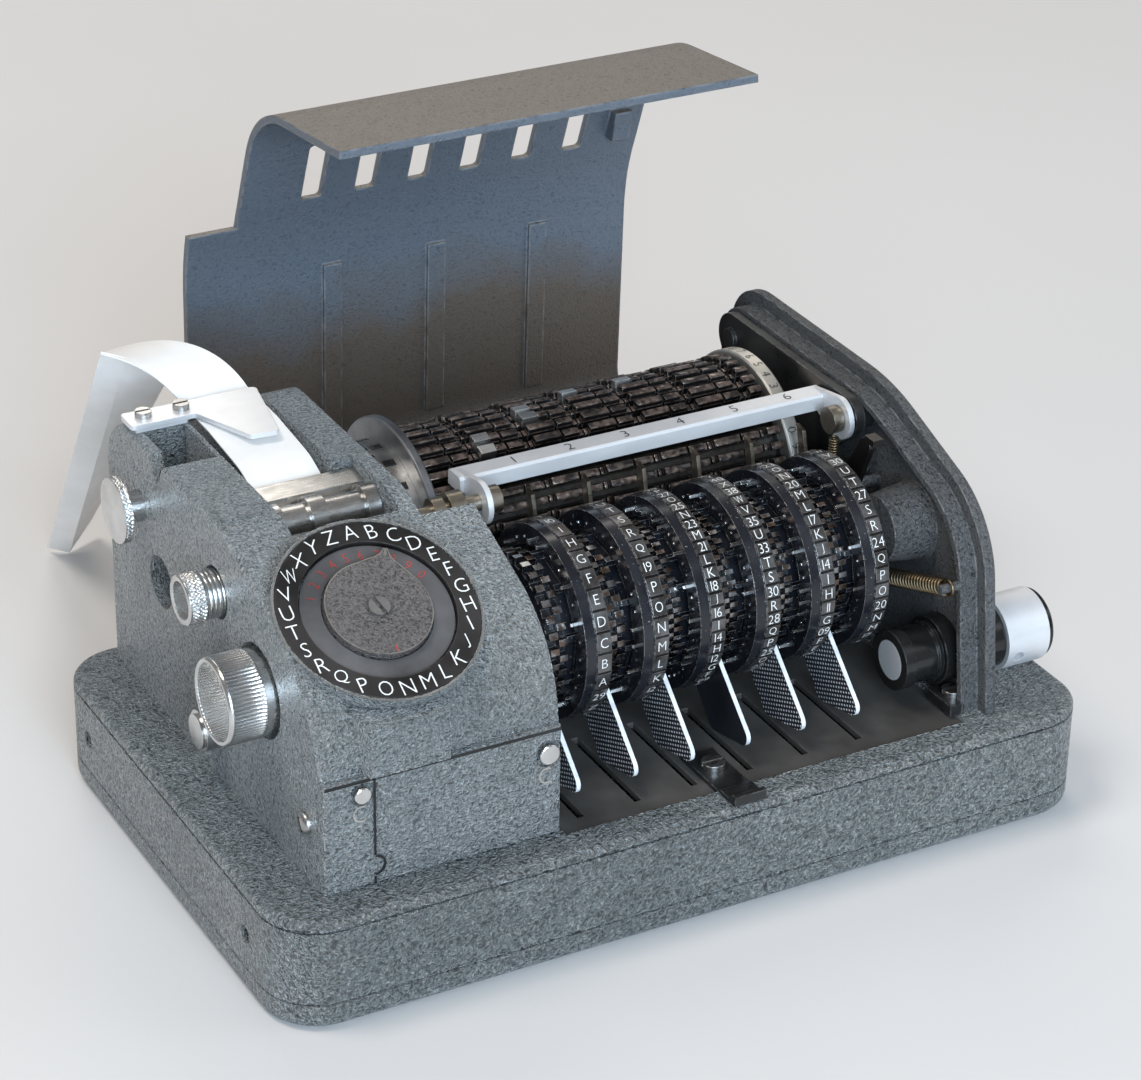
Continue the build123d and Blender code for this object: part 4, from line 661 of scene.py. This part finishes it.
def build_wheel_pins(M):
    """Bright set pins that stand out of each wheel's dish, and the small heads of the others."""
    for i, steps in enumerate(STEPS):
        bm = bmesh.new()
        draw = random.Random(40 + i)
        for k in range(steps):
            out, side = around(2 * math.pi * (k + 0.5) / steps)
            place = Vector((WHEELS[i], WHEEL_Y, WHEEL_Z)) + out * PIN_R
            if draw.random() < PIN_SHARE:
                block(bm, place + X_AXIS * (-4.9 * MM), (X_AXIS, out, side), (2.4 * MM, 0.8 * MM, 0.8 * MM))
            else:
                block(bm, place + X_AXIS * (-4.55 * MM), (X_AXIS, out, side), (0.5 * MM, 0.55 * MM, 0.55 * MM))
        bmesh.ops.recalc_face_normals(bm, faces=bm.faces)
        new_piece("set_pins_%d" % (i + 1), bm, "pin_wheel_%d" % (i + 1), M["nickel"])


# ------------------------------------------------------------------ number bar and drum
def build_bar_numbers(M):
    bm = bmesh.new()
    for i, x in enumerate(WHEELS):
        put_text(bm, str(i + 1), Vector((x + 1.5 * MM, 8.1 * MM, 88.9 * MM)), X_AXIS, Y_AXIS, 3.0 * MM)
    new_piece("bar_numbers", bm, "number_bar", M["black_fill"])


def build_index_numbers(M):
    """Digits round the ring at the drum's right."""
    bm = bmesh.new()
    for i in range(BARS):
        out, side = around(math.radians(INDEX_START + i * BAR_STEP))
        put_text(bm, str((7 - i) % 10), Vector((INDEX_X, DRUM_Y, DRUM_Z)) + out * INDEX_R, side, X_AXIS, 2.3 * MM,
                 depth=0.00006)
    new_piece("index_numbers", bm, "drum", M["black_fill"])


def bar_outline(index):
    """Side view of one slide bar, along X and the radius, in mm."""
    points = [(BAR_LEFT, BAR_ROOT), (BAR_LEFT, BAR_TOP)]
    for wheel in range(-1, 6):
        start = WHEELS[0] / MM + PITCH * wheel
        for low, high, top in LUGS:
            if low == 0.0 and (index, wheel) in BRIGHT:
                low = 4.6                       # room for the bright lug, which is CAD
            x0, x1 = max(start + low, BAR_LEFT + 0.5), min(start + high, BAR_RIGHT - 0.5)
            if x1 - x0 > 0.8:
                points += [(x0, BAR_TOP), (x0, top), (x1, top), (x1, BAR_TOP)]
    return points + [(BAR_RIGHT, BAR_TOP), (BAR_RIGHT, BAR_ROOT)]


def build_bars(M):
    """Forty slide bars with tall lugs and low nubs, their edges rounded."""
    bm = bmesh.new()
    for i in range(BARS):
        out, side = around(math.radians(BAR_START + i * BAR_STEP))
        rows = [[bm.verts.new(Vector((x * MM, DRUM_Y, DRUM_Z)) + out * (r * MM) + side * (half * MM))
                 for x, r in bar_outline(i)] for half in (-BAR_HALF, BAR_HALF)]
        n = len(rows[0])
        for k in range(n):
            j = (k + 1) % n
            bm.faces.new((rows[0][k], rows[0][j], rows[1][j], rows[1][k]))
        bm.faces.new(rows[0][::-1])
        bm.faces.new(rows[1])
    bmesh.ops.recalc_face_normals(bm, faces=bm.faces)
    high = [e for e in bm.edges
            if all(math.hypot(v.co.y - DRUM_Y, v.co.z - DRUM_Z) > 23.0 * MM for v in e.verts)]
    bmesh.ops.bevel(bm, geom=high, offset=0.28 * MM, segments=2, affect="EDGES", profile=0.5)
    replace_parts(new_piece("bars", bm, "drum", M["bars"], angle=50), "slide_bars")


def build_drum_studs(M):
    """Dark studs in the sleeve's slots and on its face."""
    bm = bmesh.new()
    for i in range(BARS):
        out, side = around(math.radians(BAR_START + i * BAR_STEP))
        place = Vector((0, DRUM_Y, DRUM_Z)) + out * (23.35 * MM)
        block(bm, place + X_AXIS * (-42.9 * MM), (X_AXIS, out, side), (8.6 * MM, 1.2 * MM, 1.5 * MM))
        if i % 2:
            block(bm, place + X_AXIS * (-36.4 * MM) + out * (0.2 * MM), (X_AXIS, out, side),
                  (3.0 * MM, 1.2 * MM, 2.0 * MM))
    bmesh.ops.recalc_face_normals(bm, faces=bm.faces)
    new_piece("drum_studs", bm, "drum", M["gloss_black"])


# ------------------------------------------------------------------ printing housing
def build_cover_seams_and_shadow(M):
    """Dark joints round the two front covers, a painted shadow line along their top edge under the boss, and worn
    crescents beside their buttons.
    """
    def line(*points):
        return [Vector((x, COVER_Y, z)) * MM for x, z in points]

    def arc(x, z, r, start, end, steps):
        angles = [math.radians(start + (end - start) * k / steps) for k in range(steps + 1)]
        return line(*[(x + r * math.cos(a), z + r * math.sin(a)) for a in angles])

    bm = bmesh.new()
    # painted shadow: a dark strip along the covers' top edge, where the boss above casts its shade
    strip(bm, line((-93.5, COVER_SHADOW_Z), (-64.0, COVER_SHADOW_Z), (-35.0, COVER_SHADOW_Z)), 0.85 * MM, FRONT)
    strip(bm, line((COVER_SEAM_X, 57.0), (COVER_SEAM_X, 36.4)), 0.45 * MM, FRONT)
    strip(bm, arc(COVER_SEAM_X, TAB_Z, TAB_R, 90, -90, 12), 0.5 * MM, FRONT)
    strip(bm, line((COVER_SEAM_X, 30.8), (COVER_SEAM_X, 28.8)), 0.45 * MM, FRONT)
    new_piece("cover_seams_and_shadow_line", bm, "chassis", M["gap"])
    bm = bmesh.new()
    for x, z in COVER_MARKS:
        strip(bm, arc(x, z, MARK_R, 60, 300, 12), 0.4 * MM, FRONT)
    new_piece("cover_marks", bm, "chassis", M["pale_edge"])


def turned(name, profile, y, z, seg, body, material, knurl=None):
    """Body of revolution about a line along X. profile: (x, r) in mm; knurl(x, angle, r) gives the cut in mm."""
    bm = bmesh.new()
    rings = []
    for x, r in profile:
        ring = []
        for k in range(seg):
            a = 2 * math.pi * k / seg
            cut = knurl(x, a, r) if knurl else 0.0
            ring.append(bm.verts.new((x * MM, y + (r - cut) * MM * math.cos(a), z + (r - cut) * MM * math.sin(a))))
        rings.append(ring)
    for p, q in zip(rings, rings[1:]):
        for k in range(seg):
            bm.faces.new((p[k], p[(k + 1) % seg], q[(k + 1) % seg], q[k]))
    bm.faces.new(rings[0][::-1])
    bm.faces.new(rings[-1])
    bmesh.ops.recalc_face_normals(bm, faces=bm.faces)
    return new_piece(name, bm, body, material, angle=35)


def spread(x0, x1, n):
    return [x0 + (x1 - x0) * k / n for k in range(n + 1)]


def ease(x, x0, x1, run):
    """0 at both ends of the knurl, 1 further in than run, and 0 outside."""
    return max(0.0, min(1.0, (x - x0) / run, (x1 - x) / run))


def straight(x0, x1, count, depth):
    """Knurl of straight grooves."""
    return lambda x, a, r: depth * ease(x, x0, x1, 0.5) * (0.5 - 0.5 * math.cos(a * count)) ** 0.6


def diamond(x0, x1, count, depth):
    """Knurl of two crossing sets of grooves."""
    def cut(x, a, r):
        lead = (x - x0) / r * 1.1
        u = abs(math.sin((a + lead) * count / 2))
        v = abs(math.sin((a - lead) * count / 2))
        return depth * ease(x, x0, x1, 0.3) * (1 - min(u, v, 0.62) / 0.62)
    return cut


def build_knobs(M):
    # letter knob: hollow cup, fine straight knurl, smooth collar
    cup = [(-98.1, 0.2), (-98.1, 6.2), (-98.0, 8.7), (-98.3, 8.9), (-104.9, 8.95), (-105.2, 9.2), (-105.2, 9.85),
           (-104.9, 10.05), (-104.5, 10.3), (-104.4, 10.3), (-103.9, 10.3), (-96.9, 10.3), (-96.4, 10.3),
           (-96.3, 10.3), (-96.2, 10.1), (-90.0, 10.1), (-90.0, 3.5), (-78.5, 3.5)]
    knob = turned("letter_knob_cup", cup, -24.5 * MM, 64.4 * MM, 288, "letter_knob", M["nickel"],
                  straight(-104.4, -96.4, 72, 0.34))
    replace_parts(knob, "letter_knob")
    # selector knob: diamond knurl over a grooved sleeve
    selector = [(-99.3, 0.2), (-99.2, 4.2), (-99.5, 4.4), (-102.4, 4.5), (-102.6, 4.8), (-102.6, 5.6), (-102.3, 6.0)]
    selector += [(x, 6.0) for x in spread(-102.2, -98.4, 14)] + [(-98.2, 5.9), (-98.1, 5.7)]
    for x in spread(-97.6, -91.0, 6):
        selector += [(x, 5.7), (x + 0.18, 5.62), (x + 0.36, 5.7)]
    selector += [(-90.2, 5.7), (-90.2, 2.5), (-82.3, 2.5)]
    knob = turned("selector_knob", selector, -1.3 * MM, 78.0 * MM, 204, "mode_knob", M["nickel"],
                  diamond(-102.3, -98.3, 34, 0.42))
    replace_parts(knob, "mode_knob")
    # tape feed knob: knurled disc on a plain shaft
    feed = [(-100.8, 0.2), (-100.8, 6.9), (-100.7, 7.5)] + [(x, 8.0) for x in spread(-100.5, -98.5, 10)]
    feed += [(-98.3, 7.5), (-98.2, 7.2), (-98.2, 3.8), (-91.2, 3.8)]
    knob = turned("tape_feed_knob", feed, 42.9 * MM, 79.5 * MM, 220, "feed_knob", M["nickel"],
                  diamond(-100.5, -98.5, 44, 0.4))
    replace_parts(knob, "feed_knob")


def build_side_screw(M):
    """Domed screw low on the housing's left face, with its slot."""
    y, z = -48.6 * MM, 43.3 * MM
    dome = [(-95.5, 0.1), (-95.45, 1.3), (-95.2, 2.1), (-94.7, 2.6), (-94.3, 2.7), (-93.4, 2.7)]
    turned("side_screw", dome, y, z, 40, "chassis", M["steel"])
    bm = bmesh.new()
    along, across = Vector((0, 0.5, 0.866)), Vector((0, -0.866, 0.5))
    block(bm, Vector((-95.42 * MM, y, z)), (along, across, X_AXIS), (3.6 * MM, 0.55 * MM, 0.16 * MM))
    new_piece("side_screw_slot", bm, "chassis", M["gap"])


# ------------------------------------------------------------------ springs
def wire(name, points, radius, M):
    """Round bronze wire through the points, given in metres."""
    cu = bpy.data.curves.new(name, "CURVE")
    cu.dimensions = "3D"
    spline = cu.splines.new("POLY")
    spline.points.add(len(points) - 1)
    for p, q in zip(spline.points, points):
        p.co = (*q, 1)
    cu.bevel_depth = radius
    cu.bevel_resolution = 2
    cu.use_fill_caps = True
    tmp = bpy.data.objects.new(name, cu)
    bpy.context.scene.collection.objects.link(tmp)
    me = bpy.data.meshes.new_from_object(tmp)
    bpy.data.objects.remove(tmp)
    bpy.data.curves.remove(cu)
    bm = bmesh.new()
    bm.from_mesh(me)
    bpy.data.meshes.remove(me)
    return new_piece(name, bm, "chassis", M["bronze"], angle=60)


def helix(start, end, radius, turns, steps=14):
    """Points of a coil between two points given in mm; radius in mm, result in metres."""
    a, d = start * MM, (end - start) * MM
    u = d.cross(X_AXIS).normalized()
    v = d.normalized().cross(u)
    return [a + d * (k / (turns * steps))
            + (u * math.cos(2 * math.pi * k / steps) + v * math.sin(2 * math.pi * k / steps)) * (radius * MM)
            for k in range(turns * steps + 1)]


def build_springs(M):
    coil = wire("plate_spring", helix(Vector((73.9, -48.4, 60.7)), Vector((73.9, -15.9, 48.7)), 1.85, 27),
                0.42 * MM, M)
    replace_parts(coil, "coil_springs")
    turns = [k * math.pi / 9 for k in range(17)]
    eye = [Vector((73.9, -50.0 + 1.75 * math.cos(t), 61.3 + 1.75 * math.sin(t))) * MM for t in turns]
    wire("plate_spring_eye", eye, 0.42 * MM, M)
    wire("bar_spring", helix(Vector((69.9, -3.4, 72.6)), Vector((69.9, -3.4, 81.2)), 1.05, 12), 0.26 * MM, M)


# ------------------------------------------------------------------ table and light
def build_floor():
    bm = bmesh.new()
    bm.faces.new([bm.verts.new(p) for p in ((-3, -2.2, 0), (3, -2.2, 0), (3, 2.5, 0), (-3, 2.5, 0))])
    me = bpy.data.meshes.new("table_top")
    bm.to_mesh(me)
    bm.free()
    ob = bpy.data.objects.new("table_top", me)
    bpy.context.scene.collection.objects.link(ob)
    m = Nodes("table_pale")
    color = m.mix(m.remap(m.noise(3, 3.0), 0.3, 0.7), (0.685, 0.665, 0.65), (0.71, 0.69, 0.675))
    m.bump(m.noise(900, 4.0), 0.1, 0.0001)
    me.materials.append(m.done(color, 0.7))


def area(name, place, target_z, size, power, color):
    """Round area light that faces a point over the middle of the object."""
    light = bpy.data.lights.new(name, "AREA")
    light.shape = "DISK"
    light.size = size
    light.energy = power
    light.color = color
    ob = bpy.data.objects.new(name, light)
    bpy.context.scene.collection.objects.link(ob)
    ob.location = place
    ob.rotation_euler = (Vector((0, 0, target_z)) - Vector(place)).to_track_quat("-Z", "Y").to_euler()


def build_light():
    """Warm light from above, bluish window light from the front, and two weak fills."""
    scene = bpy.context.scene
    scene.view_settings.view_transform = "Standard"
    scene.world = bpy.data.worlds.new("studio")
    scene.world.use_nodes = True
    background = scene.world.node_tree.nodes["Background"]
    background.inputs["Color"].default_value = (0.88, 0.88, 0.90, 1)
    background.inputs["Strength"].default_value = 0.32
    area("key", (-0.7, 0.2, 1.8), 0.05, 0.7, 14.5, (1.0, 0.94, 0.87))
    area("sky", (-0.45, -1.75, 0.75), 0.06, 1.3, 47, (0.66, 0.83, 1.0))
    area("fill", (1.5, -0.9, 1.0), 0.05, 1.2, 5, (0.90, 0.95, 1.0))
    area("back", (0.5, 1.6, 1.5), 0.06, 1.2, 11, (1.0, 0.96, 0.90))


def main():
    make_camera()
    materials = build_materials()
    build_floor()
    build_light()
    paint_nodes(materials)
    for build in (build_dial, build_wheel_labels, build_bar_numbers, build_index_numbers, build_bars,
                  build_cover_seams_and_shadow, build_side_screw, build_drum_studs, build_wheel_pins, build_knobs,
                  build_springs):
        build(materials)


main()
